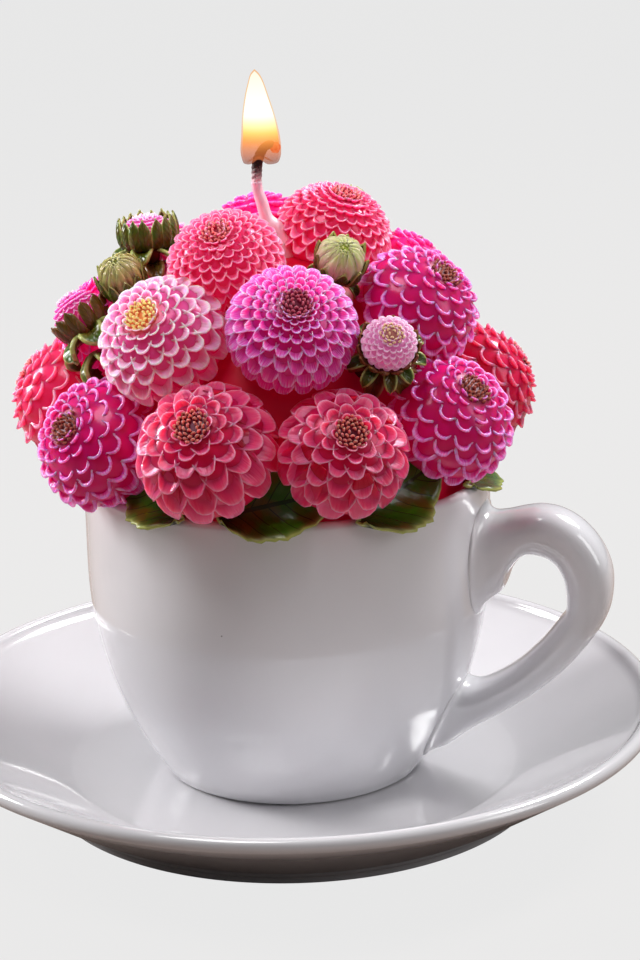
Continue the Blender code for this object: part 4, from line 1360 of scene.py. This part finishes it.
# %% Lay a whorl of blades
TIP_CROWDING = 1.7
BLADE_BASE = 0.55
BLADE_WIDEST = 0.45
BLADE_NARROWING = 0.96
BLADE_WANDER = 0.12
CURVE_STEPS = 6


def blade_width(share, point):
    """Half width of a pointed blade along its length, as a share of the widest."""
    swell = BLADE_BASE + (1.0 - BLADE_BASE) * np.sin(np.clip(share / BLADE_WIDEST, 0.0, 1.0)
                                                     * math.pi / 2)
    taper = np.clip((share - BLADE_WIDEST) / (1.0 - BLADE_WIDEST), 0.0, 1.0)
    return swell * (1.0 - BLADE_NARROWING * taper ** point)


def add_whorl(gather, centre, axes, girth, rise, curve, count, width, rng, start, point, hollow,
              skin, fine=(8, 4), along=None):
    """Pointed blades round a bud, along a curve of (radius share, height share)."""
    side, up, face = axes
    rows, columns = fine
    u = np.linspace(-1.0, 1.0, columns + 1)[None, :, None]
    share = 1.0 - (1.0 - np.linspace(0.0, 1.0, rows + 1)) ** TIP_CROWDING
    for number in range(count):
        turn = math.tau * (number + start + rng.uniform(-BLADE_WANDER, BLADE_WANDER)) / count
        level = side * math.cos(turn) + up * math.sin(turn)
        across = np.cross(face, level)
        bend = np.array(curve, float) * (girth, rise)
        bend[1:] *= 1.0 + rng.uniform(-0.5, 0.5) * BLADE_WANDER
        line = smooth_through(bend, CURVE_STEPS)
        where = share * (len(line) - 1)
        radius = np.interp(where, np.arange(len(line)), line[:, 0])
        height = np.interp(where, np.arange(len(line)), line[:, 1])
        middle = centre + radius[:, None] * level + height[:, None] * face
        tangent = np.gradient(middle, axis=0)
        tangent /= np.linalg.norm(tangent, axis=1, keepdims=True)
        outward = np.cross(across, tangent)
        half = width * girth / 2 * blade_width(share, point)
        grid = middle[:, None, :] + across * u * half[:, None, None]
        grid = grid - outward[:, None, :] * (u * u) * hollow * half[:, None, None]
        reach = share[:, None] + 0 * u[0, :, :].T
        over = u[0, :, :].T + 0 * share[:, None]
        edge = np.maximum(np.abs(over), np.clip((reach - 0.8) / 0.2, 0, 1))
        shown = reach if along is None else along[0] + (along[1] - along[0]) * reach
        gather.add(settle(thick_sheet(grid, skin * width * girth)), sheet_faces(*fine),
                   rim=sheet_marks(edge, *fine), along=sheet_marks(shown, *fine),
                   across=sheet_marks(over, *fine), chance=rng.random(), eye=0.0)


print("blade widths from foot to point:", blade_width(np.linspace(0, 1, 5), 2.0).round(2).tolist())

# %% Mix the green wax
VEIN_SLANT = 0.22
VEIN_PAIRS = 7.0
SIDE_VEIN = 0.46
MIDDLE_VEIN = 0.06
RIM_SHARE = 0.75


def green_wax(name, dark, body, edge, brown, brown_share, vein_share):
    """Green wax with brown clouds, a pale thin edge and veins."""
    material, nodes, links, shader = new_finish(name)
    tone = ramp_of(nodes, links, mark(nodes, "along"), ((0.0, dark), (0.55, body), (1.0, body)))
    cloud = cloud_over(nodes, links, 190.0, 2.0)
    patch = ramp_of(nodes, links, cloud, ((0.48, grey(0)), (0.66, grey(1))))
    patch = do_math(nodes, links, "MULTIPLY", patch, brown_share)
    browned = blend_colours(nodes, links, patch, tone, brown)
    off_middle = do_math(nodes, links, "ABSOLUTE", mark(nodes, "across"))
    slant = do_math(nodes, links, "MULTIPLY", off_middle, VEIN_SLANT)
    slanted = do_math(nodes, links, "SUBTRACT", mark(nodes, "along"), slant)
    phase = do_math(nodes, links, "FRACT", do_math(nodes, links, "MULTIPLY", slanted, VEIN_PAIRS))
    wave = do_math(nodes, links, "ABSOLUTE", do_math(nodes, links, "SUBTRACT", phase, 0.5))
    side_vein = do_math(nodes, links, "GREATER_THAN", wave, SIDE_VEIN)
    middle_vein = do_math(nodes, links, "LESS_THAN", off_middle, MIDDLE_VEIN)
    vein = do_math(nodes, links, "MAXIMUM", side_vein, middle_vein)
    vein = do_math(nodes, links, "MULTIPLY", vein, vein_share)
    veined = blend_colours(nodes, links, vein, browned, dark)
    rim = do_math(nodes, links, "POWER", mark(nodes, "rim"), 14.0)
    rim = do_math(nodes, links, "MULTIPLY", rim, RIM_SHARE)
    links.new(blend_colours(nodes, links, rim, veined, edge), shader.inputs["Base Color"])
    set_inputs(shader, {"Subsurface Weight": 0.15, "Subsurface Radius": (0.5, 1.0, 0.2),
                        "Subsurface Scale": 1.0 * MM, "Roughness": 0.26})
    relief = do_math(nodes, links, "ADD", wave, do_math(nodes, links, "MULTIPLY", cloud, 1.5))
    bumped(nodes, links, relief, 0.5, 0.3 * MM, shader)
    return material


SEPAL_GREEN = green_wax("sepal_green", paint(44, 26, 8), paint(66, 92, 16), paint(186, 190, 110),
                        paint(120, 60, 22), 0.45, 0.45)
BRACT_BROWN = green_wax("bract_brown", paint(30, 16, 6), paint(96, 74, 22), paint(150, 104, 60),
                        paint(132, 52, 26), 0.85, 0.45)
LEAF_GREEN = green_wax("leaf_green_wax", paint(20, 36, 6), paint(54, 104, 12), paint(190, 196, 104),
                       paint(104, 58, 12), 0.7, 0.8)
print("green waxes:", SEPAL_GREEN.name, BRACT_BROWN.name, LEAF_GREEN.name)

# %% [markdown]
# ## Buds
# A bud is a ball of closed petals on a short stem. The pink and lilac ones have rows of tiny
# cups round an eye of rods, golden on the lilac ones. The cream and olive ones are still shut:
# long petals lie over one another and meet at the top. Each bud has its own whorls, as the
# photograph shows: upright on the tall one, hugging on the shut ones, spread like fingers on
# the left one, and a collar with splayed sepals under it on the lilac one. The two buds at the
# back can't be seen in the photograph, so they repeat the lilac and the cream one.

# %% List the buds
BUD_RADIUS = 0.1333 * RIM_RADIUS

# Curves of the sepals, as radius and height about the middle of the ball, in shares of its
# girth and rise
UPRIGHT = ((0.40, -1.05), (0.94, -0.90), (1.13, -0.25), (1.12, 0.45), (1.02, 0.98))
HUGGING = ((0.40, -1.05), (1.00, -0.70), (1.22, -0.10), (1.18, 0.50))
CLASPING = ((0.40, -1.05), (1.00, -0.72), (1.22, -0.12), (1.19, 0.48))
FINGERS = ((0.40, -1.10), (0.90, -0.95), (1.18, -0.40), (1.26, 0.20))
COLLAR = ((0.45, -1.00), (0.88, -0.78), (1.12, -0.46), (1.14, -0.12))
SPLAYED = ((0.35, -1.05), (0.85, -0.98), (1.18, -1.02), (1.36, -1.28))
HOOKED = ((0.30, -1.05), (0.80, -1.02), (1.08, -1.24), (1.12, -1.62))
SPREADING = ((0.30, -1.12), (0.78, -1.16), (1.14, -1.36), (1.26, -1.78))
LOW_BRACTS = ((0.30, -1.95), (0.62, -1.98), (0.98, -2.26), (1.08, -2.72))

# Whorls of a bud, as (curve, count, width share, roundness of the tip, colour)
LILAC_WHORLS = ((COLLAR, 14, 0.42, 3.4, "brown"), (SPLAYED, 10, 0.50, 2.2, "green"),
                (LOW_BRACTS, 6, 0.7, 2.2, "brown"))
CREAM_WHORLS = ((CLASPING, 9, 0.62, 2.8, "green"), (HOOKED, 7, 0.46, 2.6, "green"))

# Name, azimuth and elevation of the foot, turn and elevation of the stem, azimuth and
# elevation that the bud nods to, reach of the stem and girth in bud radii, flatness of the
# ball, wax, slot, whorls
BUD_SHARES = (
    ("bud_tall", -166.0, 52.0, 0.0, 62.0, -150.0, 84.0, 2.50, 1.00, 0.62, "bright_bud", "mauve",
     ((UPRIGHT, 15, 0.50, 3.2, "green"), (SPREADING, 6, 0.80, 2.6, "green"),
      (LOW_BRACTS, 6, 0.7, 2.2, "brown"))),
    ("bud_closed", -143.0, 44.0, -10.0, 46.0, -100.0, 58.0, 2.20, 0.76, 1.14, "olive", "cream",
     ((HUGGING, 11, 0.56, 3.4, "green"), (SPREADING, 6, 0.85, 2.8, "green"),
      (LOW_BRACTS, 5, 0.8, 2.2, "brown"))),
    ("bud_left", -150.0, 28.0, -9.0, 48.0, 172.0, 50.0, 2.60, 1.00, 0.86, "bright_bud", "mauve",
     ((FINGERS, 13, 0.46, 9.0, "brown"), (SPREADING, 6, 0.98, 3.4, "green"),
      (LOW_BRACTS, 5, 0.90, 3.0, "green"))),
    ("bud_cream", -47.0, 58.0, 34.0, 58.0, -57.0, 44.0, 1.55, 0.80, 1.04, "cream", "cream",
     CREAM_WHORLS),
    ("bud_lilac", -42.0, 32.0, 0.0, 36.0, -66.0, 38.0, 2.18, 0.97, 0.86, "lilac", "mauve",
     LILAC_WHORLS),
    ("bud_back", 113.0, 31.0, 0.0, 31.0, 113.0, 31.0, 2.06, 1.00, 0.86, "lilac", "mauve",
     LILAC_WHORLS),
    ("bud_back_right", 68.0, 61.0, 0.0, 61.0, 68.0, 61.0, 2.00, 0.92, 1.04, "cream", "cream",
     CREAM_WHORLS),
)
BUD_KIND = dict(angles=(16, 28, 42, 57, 73, 90, 106), width=(0.20, 0.34), overlap=0.98,
                lie=(56, 26), length=(0.26, 0.48), hollow=(0.24, 0.24), skin=0.14, fine=(5, 4))

# Curves of the shut petals, one for each layer, from the top one down
SHUT_PETALS = (((1.00, -0.10), (0.99, 0.40), (0.66, 0.84), (0.24, 1.02)),
               ((0.98, -0.30), (1.04, 0.25), (0.86, 0.70), (0.46, 0.97)),
               ((0.94, -0.45), (1.07, 0.05), (1.00, 0.50), (0.74, 0.82)))
print("buds:", [row[0] for row in BUD_SHARES])

# %% Sweep a round along a line


def swept(middles, radii, steps):
    """Rings of points about a line."""
    tangent = np.gradient(middles, axis=0)
    tangent /= np.linalg.norm(tangent, axis=1, keepdims=True)
    side = np.cross(tangent, (0.3, 1.0, 0.1))
    side /= np.linalg.norm(side, axis=1, keepdims=True)
    other = np.cross(tangent, side)
    turns = np.linspace(0.0, math.tau, steps, endpoint=False)
    ring = (side[:, None, :] * np.cos(turns)[None, :, None]
            + other[:, None, :] * np.sin(turns)[None, :, None])
    return middles[:, None, :] + ring * np.asarray(radii)[:, None, None]


def swept_faces(rings, sides):
    """Faces of a swept round. Its rings run the other way, so each face is turned over."""
    return [face[:1] + face[:0:-1] for face in tube_faces(rings, sides)]


print("points of a swept tube:", swept(np.eye(3), np.ones(3), 8).shape)

# %% Grow the ball of a bud
BUD_EYE_SPREAD = 24.0
BUD_FLORETS = 26
BUD_ROD = 0.09
SHUT_COUNT = 13
SHUT_WIDTH = 0.40

# How the marks along a shut petal run, so that a cream bud is green at its foot and pale at
# its middle, and an olive one brown at its foot and pale at its tips
SHUT_MARKS = {"cream": (1.0, 0.2), "olive": (0.3, 1.5)}


def grow_bud_ball(name, centre, axes, girth, rise, wax, rng):
    """The closed petals of a bud."""
    gather = Gather()
    if wax in SHUT_MARKS:
        add_round(gather, centre, axes, girth * 0.93, rise * 0.93, along=0.3)
        add_eye(gather, centre, axes, girth * 1.03, rise * 1.04, rng, BUD_EYE_SPREAD, BUD_FLORETS,
                rod=BUD_ROD)
        for layer, curve in enumerate(SHUT_PETALS):
            add_whorl(gather, centre, axes, girth, rise, curve, SHUT_COUNT, SHUT_WIDTH, rng,
                      start=layer / 3, point=1.8, hollow=0.4, skin=0.12, along=SHUT_MARKS[wax])
        return gather.mesh(name)
    add_rows(gather, centre, axes, girth, rise, BUD_KIND, rng, eye_near=0.8)
    add_eye(gather, centre, axes, girth * 1.03, rise * 1.06, rng, BUD_EYE_SPREAD, BUD_FLORETS,
            rod=BUD_ROD)
    add_round(gather, centre, axes, girth * 0.9, rise * 0.9, along=0.4)
    return gather.mesh(name)


print("petals of a shut bud:", SHUT_COUNT * len(SHUT_PETALS))

# %% Add the stem and the whorls
STEM_SIDES = 16
STEM_STEPS = 8
STEM_PULL = 0.4
STEM_TOP = 0.6
STEM_REACH = (0.0, 0.6, 0.8, 1.0)
STEM_GIRTH = (0.36, 0.30, 0.38, 0.62)


def add_stem(gather, foot, foot_way, centre, axes, girth, rise):
    """A short stem from the dome, bent towards the nod, that widens into the bud's base."""
    top = centre - axes[2] * STEM_TOP * rise
    pull = np.linalg.norm(top - foot) * STEM_PULL
    line = []
    for step in range(STEM_STEPS + 1):
        t = step / STEM_STEPS
        line.append(foot * (1 - t) ** 3 + 3 * (foot + foot_way * pull) * (1 - t) ** 2 * t
                    + 3 * (top - axes[2] * pull) * (1 - t) * t * t + top * t ** 3)
    reach = np.linspace(0, 1, STEM_STEPS + 1)
    radii = girth * np.interp(reach, STEM_REACH, STEM_GIRTH)
    rings = swept(np.array(line), radii, STEM_SIDES)
    gather.add(settle(rings.reshape(-1, 3)), swept_faces(len(line), STEM_SIDES), rim=0.0, along=0.3,
               across=0.5, chance=0.3, eye=0.0)


def grow_bud_whorls(centre, axes, girth, rise, whorls, rng, colour):
    """The sepals or the bracts of a bud."""
    gather = Gather()
    for number, (curve, count, width, roundness, tone) in enumerate(whorls):
        if tone == colour:
            add_whorl(gather, centre, axes, girth, rise, curve, count, width, rng,
                      start=number / 2, point=roundness, skin=0.18, hollow=0.45, fine=(10, 4))
    return gather


print("stem stations:", STEM_STEPS + 1)

# %% Grow the buds
bud_pieces = []
for seed, row in enumerate(BUD_SHARES):
    (name, azimuth, elevation, turn, tilt, nod_azimuth, nod_elevation, reach_share, girth_share,
     flatness, wax, slot, whorls) = row
    rng = random.Random(100 + seed)
    foot = np.array(dome_seat(direction(azimuth, elevation)))
    foot_way = np.array(direction(azimuth + turn, tilt))
    axes = face_axes(direction(nod_azimuth, nod_elevation))
    girth = girth_share * BUD_RADIUS
    rise = girth * flatness
    centre = foot + foot_way * reach_share * BUD_RADIUS
    ball = grow_bud_ball(name + "_ball", centre, axes, girth, rise, wax, rng)
    sepals = grow_bud_whorls(centre, axes, girth, rise, whorls, rng, "green")
    bracts = grow_bud_whorls(centre, axes, girth, rise, whorls, rng, "brown")
    add_stem(bracts, foot, foot_way, centre, axes, girth, rise)
    for part, mesh, finish, part_slot, node in (
            ("_ball", ball, WAXES[wax], slot + "_wax", "_petals"),
            ("_sepals", sepals.mesh(name + "_sepals"), SEPAL_GREEN, "calyx_wax", "_calyx"),
            ("_bracts", bracts.mesh(name + "_bracts"), BRACT_BROWN, "calyx_wax", "_calyx")):
        bud_pieces.append(new_piece(name + part, mesh, finish, part_slot, [name + node]))
print("bud faces:", sum(len(piece.data.polygons) for piece in bud_pieces))

# %% [markdown]
# ## Leaves
# Broad toothed leaves lie over the rim and stand up a little between two flowers. Each is a
# sheet laid along the rim. Its outer half droops over the rim, and its inner half climbs
# towards the flowers. A fold runs down the middle, and the teeth are a wave in the edge.

# %% List the leaves
LEAF_LENGTH = 0.511 * RIM_RADIUS
LEAF_WIDTH = 0.652 * LEAF_LENGTH
LEAF_SKIN = 0.7 * MM
LEAF_LIFT = 0.9 * MM
LEAF_TILT = math.radians(70.0)
LEAF_DROOP = 0.45
LEAF_TEETH = 9
TOOTH_DEPTH = 0.10
FOLD_DEPTH = 0.9 * MM
RIPPLE_DEPTH = 0.35 * MM
LEAF_ROWS = 27
LEAF_COLUMNS = 10

# Name, azimuth, heading of the tip from the rim's tangent, length share, and the side to
# which the tip points
LEAF_SHARES = (
    ("leaf_front_left", -114.0, -20.0, 0.90, -1),
    ("leaf_front", -75.0, 12.0, 1.05, 1),
    ("leaf_front_right", -38.0, 20.0, 1.12, 1),
    ("leaf_handle", 2.0, 12.0, 0.95, 1),
    ("leaf_back_a", 42.0, -15.0, 1.00, -1),
    ("leaf_back_b", 77.5, 10.0, 0.95, 1),
    ("leaf_back_c", 112.0, -12.0, 1.00, -1),
    ("leaf_back_d", 145.0, 14.0, 0.95, 1),
    ("leaf_far_left", 179.0, -8.0, 0.95, -1),
)
print("length and width of a leaf in mm:", round(LEAF_LENGTH / MM, 1), round(LEAF_WIDTH / MM, 1))

# %% Lay the leaves


def leaf_point(out, tangent, level, climb):
    """A point of a leaf: level along the rim, climbing inwards or drooping outwards."""
    anchor = out * (RIM_RADIUS - CUP_WALL / 2)
    point = np.array((anchor[0], anchor[1], RIM_TOP + LEAF_LIFT)) + tangent * level
    inward = np.array((0.0, 0.0, math.sin(LEAF_TILT))) - out * math.cos(LEAF_TILT)
    if climb > 0.0:
        return point + inward * climb
    beyond = -climb
    return point + out * beyond - np.array((0.0, 0.0, LEAF_DROOP * beyond))


def keep_off_cup(points):
    """Keep a leaf above the rim."""
    level = np.hypot(points[:, 0], points[:, 1])
    floor = RIM_TOP + GAP - np.clip(level - RIM_RADIUS, 0, None) * 0.8
    points[:, 2] = np.maximum(points[:, 2], floor)
    return points


def grow_leaf(name, azimuth, heading, length_share, side, rng):
    """One toothed leaf."""
    out = np.array(direction(azimuth, 0.0))
    tangent = np.array((-out[1], out[0], 0.0)) * side
    turn = math.radians(heading) * side
    length = length_share * LEAF_LENGTH
    half_width = length_share * LEAF_WIDTH / 2
    rows, columns = LEAF_ROWS, LEAF_COLUMNS
    share = np.linspace(0.0, 1.0, rows + 1)
    over = np.linspace(-1.0, 1.0, columns + 1)
    swell = 0.12 + 0.88 * np.sin(math.pi * np.clip(share, 0, 1) ** 0.8) ** 0.9
    saw = (share * LEAF_TEETH) % 1.0
    grid = np.zeros((rows + 1, columns + 1, 3))
    for i in range(rows + 1):
        for j in range(columns + 1):
            u = over[j]
            tooth = 1.0 + TOOTH_DEPTH * saw[i] * abs(u) ** 6
            across = half_width * swell[i] * tooth * u + half_width * 0.35
            along = length * (share[i] - 0.5) + 0.10 * half_width * abs(u)
            level = along * math.cos(turn) - across * math.sin(turn)
            climb = along * math.sin(turn) + across * math.cos(turn)
            grid[i, j] = leaf_point(out, tangent, level, climb)
            fold = FOLD_DEPTH * (1.0 - abs(u)) ** 2
            ripple = RIPPLE_DEPTH * math.sin(share[i] * 21.0 + 3.0 * abs(u)) * abs(u)
            grid[i, j] += (out - np.array((0.0, 0.0, 0.3))) * (ripple - fold)
    if side > 0:
        grid = grid[:, ::-1]
    reach = share[:, None] + 0 * over[None, :]
    wide = over[None, :] + 0 * share[:, None]
    edge = np.maximum(np.abs(wide), np.abs(2 * reach - 1) ** 8)
    gather = Gather()
    gather.add(keep_off_cup(thick_sheet(grid, LEAF_SKIN)), sheet_faces(rows, columns),
               rim=sheet_marks(edge, rows, columns), along=sheet_marks(reach, rows, columns),
               across=sheet_marks(wide, rows, columns), chance=rng.random(), eye=0.0)
    return gather.mesh(name)


leaves = []
for seed, (name, azimuth, heading, length_share, side) in enumerate(LEAF_SHARES):
    mesh = grow_leaf("blade_" + name, azimuth, heading, length_share, side,
                     random.Random(200 + seed))
    leaves.append(new_piece("blade_" + name, mesh, LEAF_GREEN, "leaf_wax", [name]))
print("leaves:", len(leaves))

# %% [markdown]
# ## The wick
# The wick is a cotton braid: three strands wound round each other. Its foot is still coated
# with pink wax, above that it is bare and grey with ash, and its end is charred black and
# curls over. A red ember glows at the very tip.

# %% Braid the wick
WICK_LEAN = 5.0 * MM
WICK_RISE = 22.5 * MM
WICK_LEAN_DIRECTION = direction(198.0, 0.0)
STRAND_WINDING = 9.0
STRAND_OFFSET = 0.42
STRAND_GIRTH = 0.62
STRAND_SIDES = 10
WINDING_STEPS = 360

# Share of the lean, share of the rise, radius in mm
WICK_SHARES = ((0.00, -0.12, 2.0), (0.00, 0.10, 2.0), (0.24, 0.24, 1.7), (0.60, 0.36, 1.25),
               (0.80, 0.52, 1.05), (0.98, 0.66, 1.05), (0.98, 0.80, 1.15), (0.92, 0.92, 1.15),
               (0.68, 1.03, 1.0), (0.38, 1.07, 0.9), (0.16, 1.04, 0.8))


def wick_line():
    """The middle of the wick with its radius, as a smooth line."""
    rows = []
    for lean, rise, radius in WICK_SHARES:
        place = np.array(WICK_LEAN_DIRECTION) * lean * WICK_LEAN
        rows.append((place[0], place[1], DOME_TOP + rise * WICK_RISE, radius * MM))
    return smooth_through(rows, 10)


def wick_mesh():
    """Three strands wound round the wick's line."""
    line = wick_line()
    middles, radii = line[:, :3], line[:, 3]
    circles = swept(middles, radii * STRAND_OFFSET, WINDING_STEPS)
    reach = np.linspace(0.0, 1.0, len(line))
    gather = Gather()
    for strand in range(3):
        turn = reach * STRAND_WINDING * math.tau + strand * math.tau / 3
        index = np.round((turn % math.tau) / math.tau * WINDING_STEPS).astype(int) % WINDING_STEPS
        own = circles[np.arange(len(line)), index]
        rings = swept(own, radii * STRAND_GIRTH, STRAND_SIDES)
        gather.add(rings.reshape(-1, 3), swept_faces(len(line), STRAND_SIDES),
                   along=np.repeat(reach, STRAND_SIDES), chance=strand / 3)
    return gather.mesh("braided_wick")


def wick_finish():
    """Waxed pink at the foot, ash grey, then charred black."""
    material, nodes, links, shader = new_finish("braid_and_char")
    fibre = cloud_over(nodes, links, 1500.0, 2.0)
    frayed = do_math(nodes, links, "SUBTRACT", fibre, 0.5)
    moved = do_math(nodes, links, "MULTIPLY_ADD", frayed, 0.10, mark(nodes, "along"))
    tone = ramp_of(nodes, links, moved,
                   ((0.40, paint(246, 160, 184)), (0.56, paint(226, 190, 196)),
                    (0.60, paint(150, 136, 136)), (0.66, paint(34, 22, 20)),
                    (1.0, paint(20, 12, 12))))
    links.new(tone, shader.inputs["Base Color"])
    shader.inputs["Roughness"].default_value = 0.75
    bumped(nodes, links, fibre, 0.6, 0.2 * MM, shader)
    return material


wick = new_piece("braided_wick", wick_mesh(), wick_finish(), "wick_cotton", ["wick"])
print("wick faces:", len(wick.data.polygons))

# %% Coat the foot of the wick
COAT_SHARE = 0.56
COAT_SIDES = 18


def foot_finish():
    """Pale pink wax that has run down the wick."""
    material, nodes, links, shader = new_finish("wick_wax")
    cloud = cloud_over(nodes, links, 300.0, 2.0)
    tone = ramp_of(nodes, links, cloud, ((0.3, paint(255, 184, 208)), (0.7, paint(255, 226, 236))))
    links.new(tone, shader.inputs["Base Color"])
    set_inputs(shader, {"Subsurface Weight": 0.3, "Subsurface Radius": (1.0, 0.6, 0.7),
                        "Subsurface Scale": 1.5 * MM, "Roughness": 0.3})
    bumped(nodes, links, cloud, 0.4, 0.3 * MM, shader)
    return material


line = wick_line()
coat = line[:int(len(line) * COAT_SHARE)]
reach = np.linspace(0.0, 1.0, len(coat))
coat_radius = coat[:, 3] * (1.12 + 0.25 * (1.0 - reach)) + 0.06 * MM * np.sin(reach * 19.0)
coat_radius[-1] = coat[-1, 3] * 0.6
coat_rings = swept(coat[:, :3], coat_radius, COAT_SIDES)
coat_gather = Gather()
coat_gather.add(coat_rings.reshape(-1, 3), swept_faces(len(coat), COAT_SIDES))
new_piece("waxed_foot", coat_gather.mesh("waxed_foot"), foot_finish(), "wick_cotton", ["wick"])
print("coated length in mm:", round((coat[-1, 2] - coat[0, 2]) / MM, 1))

# %% Light the tip of the wick
EMBER_RADIUS = 1.15 * MM
EMBER_LUMPS = 0.14


def ember_finish():
    """Glowing red at the tip of the wick."""
    material, nodes, links, shader = new_finish("ember_glow")
    cloud = cloud_over(nodes, links, 900.0, 2.0)
    glow = ramp_of(nodes, links, cloud, ((0.4, paint(226, 50, 20)), (0.62, paint(255, 120, 80))))
    links.new(glow, shader.inputs["Emission Color"])
    set_inputs(shader, {"Emission Strength": 1.0, "Base Color": paint(60, 16, 10), "Roughness": 0.8})
    return material


bm = bmesh.new()
bmesh.ops.create_icosphere(bm, subdivisions=3, radius=EMBER_RADIUS)
for vert in bm.verts:
    lump = 1.0 + EMBER_LUMPS * math.sin(vert.co.x * 4000) * math.sin(vert.co.y * 5000 + 1.0)
    vert.co = Vector(line[-1, :3]) + vert.co * lump
ember_mesh = bpy.data.meshes.new("ember")
bm.to_mesh(ember_mesh)
bm.free()
ember_mesh.shade_smooth()
new_piece("ember", ember_mesh, ember_finish(), "wick_cotton", ["wick"])
print("ember faces:", len(ember_mesh.polygons))

# %% [markdown]
# ## The flame
# A candle flame is a white-yellow heart in a thin orange veil. The heart is opaque glow, and
# the veil is half clear, so its edge reads as a fine orange line. Both are lofted through the
# same stations: each has a height, a half width and a shift to the side. The veil's foot is
# darker, because there the wax vapour has not caught fire yet.

# %% Loft the flame
FLAME_SINK = 0.9 * MM
FLAME_BASE = flame_low.z + FLAME_SINK
FLAME_HEIGHT = flame_high.z - flame_low.z
FLAME_SIDE = CAMERA_RIGHT.copy()
FLAME_SIDE.z = 0.0
FLAME_SIDE.normalize()
FLAME_MIDDLE = Vector(((flame_low.x + flame_high.x) / 2, (flame_low.y + flame_high.y) / 2, 0.0))
FLAME_DEPTH = 0.9
FLAME_NOTCH = 1.3 * MM
FLAME_SIDES = 40

# Height share, half width in mm, shift to the right in mm
FLAME_SHARES = ((0.03, 2.2, -0.1), (0.0, 3.5, 0.0), (0.05, 4.1, 0.1), (0.14, 4.35, 0.1),
                (0.30, 4.1, 0.1), (0.51, 3.5, -0.2), (0.72, 2.5, -0.5), (0.87, 1.62, -0.6),
                (0.95, 0.95, -0.75), (1.0, 0.05, -0.8))


def flame_mesh(name, slim, low, high):
    """A lofted flame, slimmer and shorter by its shares for the heart."""
    across = np.array(FLAME_SIDE)
    away = np.array((-across[1], across[0], 0.0))
    rings = []
    for share, half_width, shift in smooth_through(FLAME_SHARES, 8):
        height = FLAME_BASE + FLAME_HEIGHT * (low + (high - low) * share)
        ring = []
        for step in range(FLAME_SIDES):
            turn = math.tau * step / FLAME_SIDES
            wide = half_width * MM * slim * math.cos(turn) + shift * MM
            deep = half_width * MM * slim * FLAME_DEPTH * math.sin(turn)
            notch = FLAME_NOTCH * math.exp(-((wide / MM + 0.3) / 1.2) ** 2) * max(0.0, 1.0 - share * 8.0)
            ring.append(np.array(FLAME_MIDDLE) + across * wide + away * deep
                        + np.array((0.0, 0.0, height + notch)))
        rings.append(ring)
    gather = Gather()
    gather.add(np.array(rings).reshape(-1, 3), tube_faces(len(rings), FLAME_SIDES))
    mesh = gather.mesh(name)
    face_outwards(mesh)
    return mesh


print("stations of the flame:", len(FLAME_SHARES))

# %% Make the flame glow


def flame_finish(name, strength, stops, clear_stops):
    """Glow coloured by height. The second ramp says how clear it is."""
    material = bpy.data.materials.new(name)
    nodes, links = node_graph(material)
    nodes.clear()
    out = nodes.new("ShaderNodeOutputMaterial")
    place = nodes.new("ShaderNodeTexCoord")
    split = nodes.new("ShaderNodeSeparateXYZ")
    links.new(place.outputs["Object"], split.inputs["Vector"])
    level = nodes.new("ShaderNodeMapRange")
    level.inputs["From Min"].default_value = FLAME_BASE
    level.inputs["From Max"].default_value = FLAME_BASE + FLAME_HEIGHT
    links.new(split.outputs["Z"], level.inputs["Value"])
    glow = nodes.new("ShaderNodeEmission")
    glow.inputs["Strength"].default_value = strength
    links.new(ramp_of(nodes, links, level.outputs["Result"], stops), glow.inputs["Color"])
    clear = ramp_of(nodes, links, level.outputs["Result"],
                    [(position, grey(share)) for position, share in clear_stops])
    open_air = nodes.new("ShaderNodeBsdfTransparent")
    mix = nodes.new("ShaderNodeMixShader")
    links.new(clear, mix.inputs[0])
    links.new(glow.outputs[0], mix.inputs[1])
    links.new(open_air.outputs[0], mix.inputs[2])
    links.new(mix.outputs[0], out.inputs["Surface"])
    return material


VEIL_GLOW = flame_finish("flame_veil", 1.0,
                         ((0.0, paint(140, 76, 56)), (0.10, paint(206, 112, 60)),
                          (0.24, paint(250, 156, 76)), (0.5, paint(255, 204, 124)),
                          (1.0, paint(246, 180, 104))),
                         ((0.0, 0.50), (0.2, 0.55), (0.5, 0.72), (1.0, 0.45)))
HEART_GLOW = flame_finish("flame_heart", 1.6,
                          ((0.0, paint(110, 52, 34)), (0.12, paint(190, 96, 48)),
                           (0.24, paint(240, 146, 68)), (0.34, paint(255, 206, 112)),
                           (0.44, paint(255, 244, 190)), (0.54, paint(255, 255, 250)),
                           (1.0, paint(255, 255, 252))),
                          ((0.0, 0.88), (0.15, 0.78), (0.27, 0.25), (0.36, 0.0)))
new_piece("flame_veil", flame_mesh("flame_veil", 1.0, 0.0, 1.0), VEIL_GLOW, "flame", ["flame"])
new_piece("flame_heart", flame_mesh("flame_heart", 0.91, 0.015, 0.98), HEART_GLOW, "flame", ["flame"])
print("flame height in mm:", round(FLAME_HEIGHT / MM, 1))

# %% [markdown]
# ## The wick's tab
# Under the wax a pressed tin tab holds the wick on the cup's floor. It only shows when the
# wax is taken away, so the solid itself is enough, with a tin finish.

# %% Finish the tab


def tin_finish():
    """Dull pressed tin with fine scratches."""
    material, nodes, links, shader = new_finish("pressed_tin")
    grain = cloud_over(nodes, links, 700.0, 3.0)
    tone = ramp_of(nodes, links, grain, ((0.3, paint(150, 150, 150)), (0.7, paint(196, 196, 194))))
    links.new(tone, shader.inputs["Base Color"])
    set_inputs(shader, {"Metallic": 1.0, "Roughness": 0.35})
    bumped(nodes, links, grain, 0.2, 0.1 * MM, shader)
    return material


TIN = tin_finish()
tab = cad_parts["wick_tab"]
for place in range(len(tab.material_slots)):
    tab.material_slots[place].material = TIN
print("slots of the tab:", len(tab.material_slots))

# %% Update the scene and finish
bpy.context.view_layer.update()
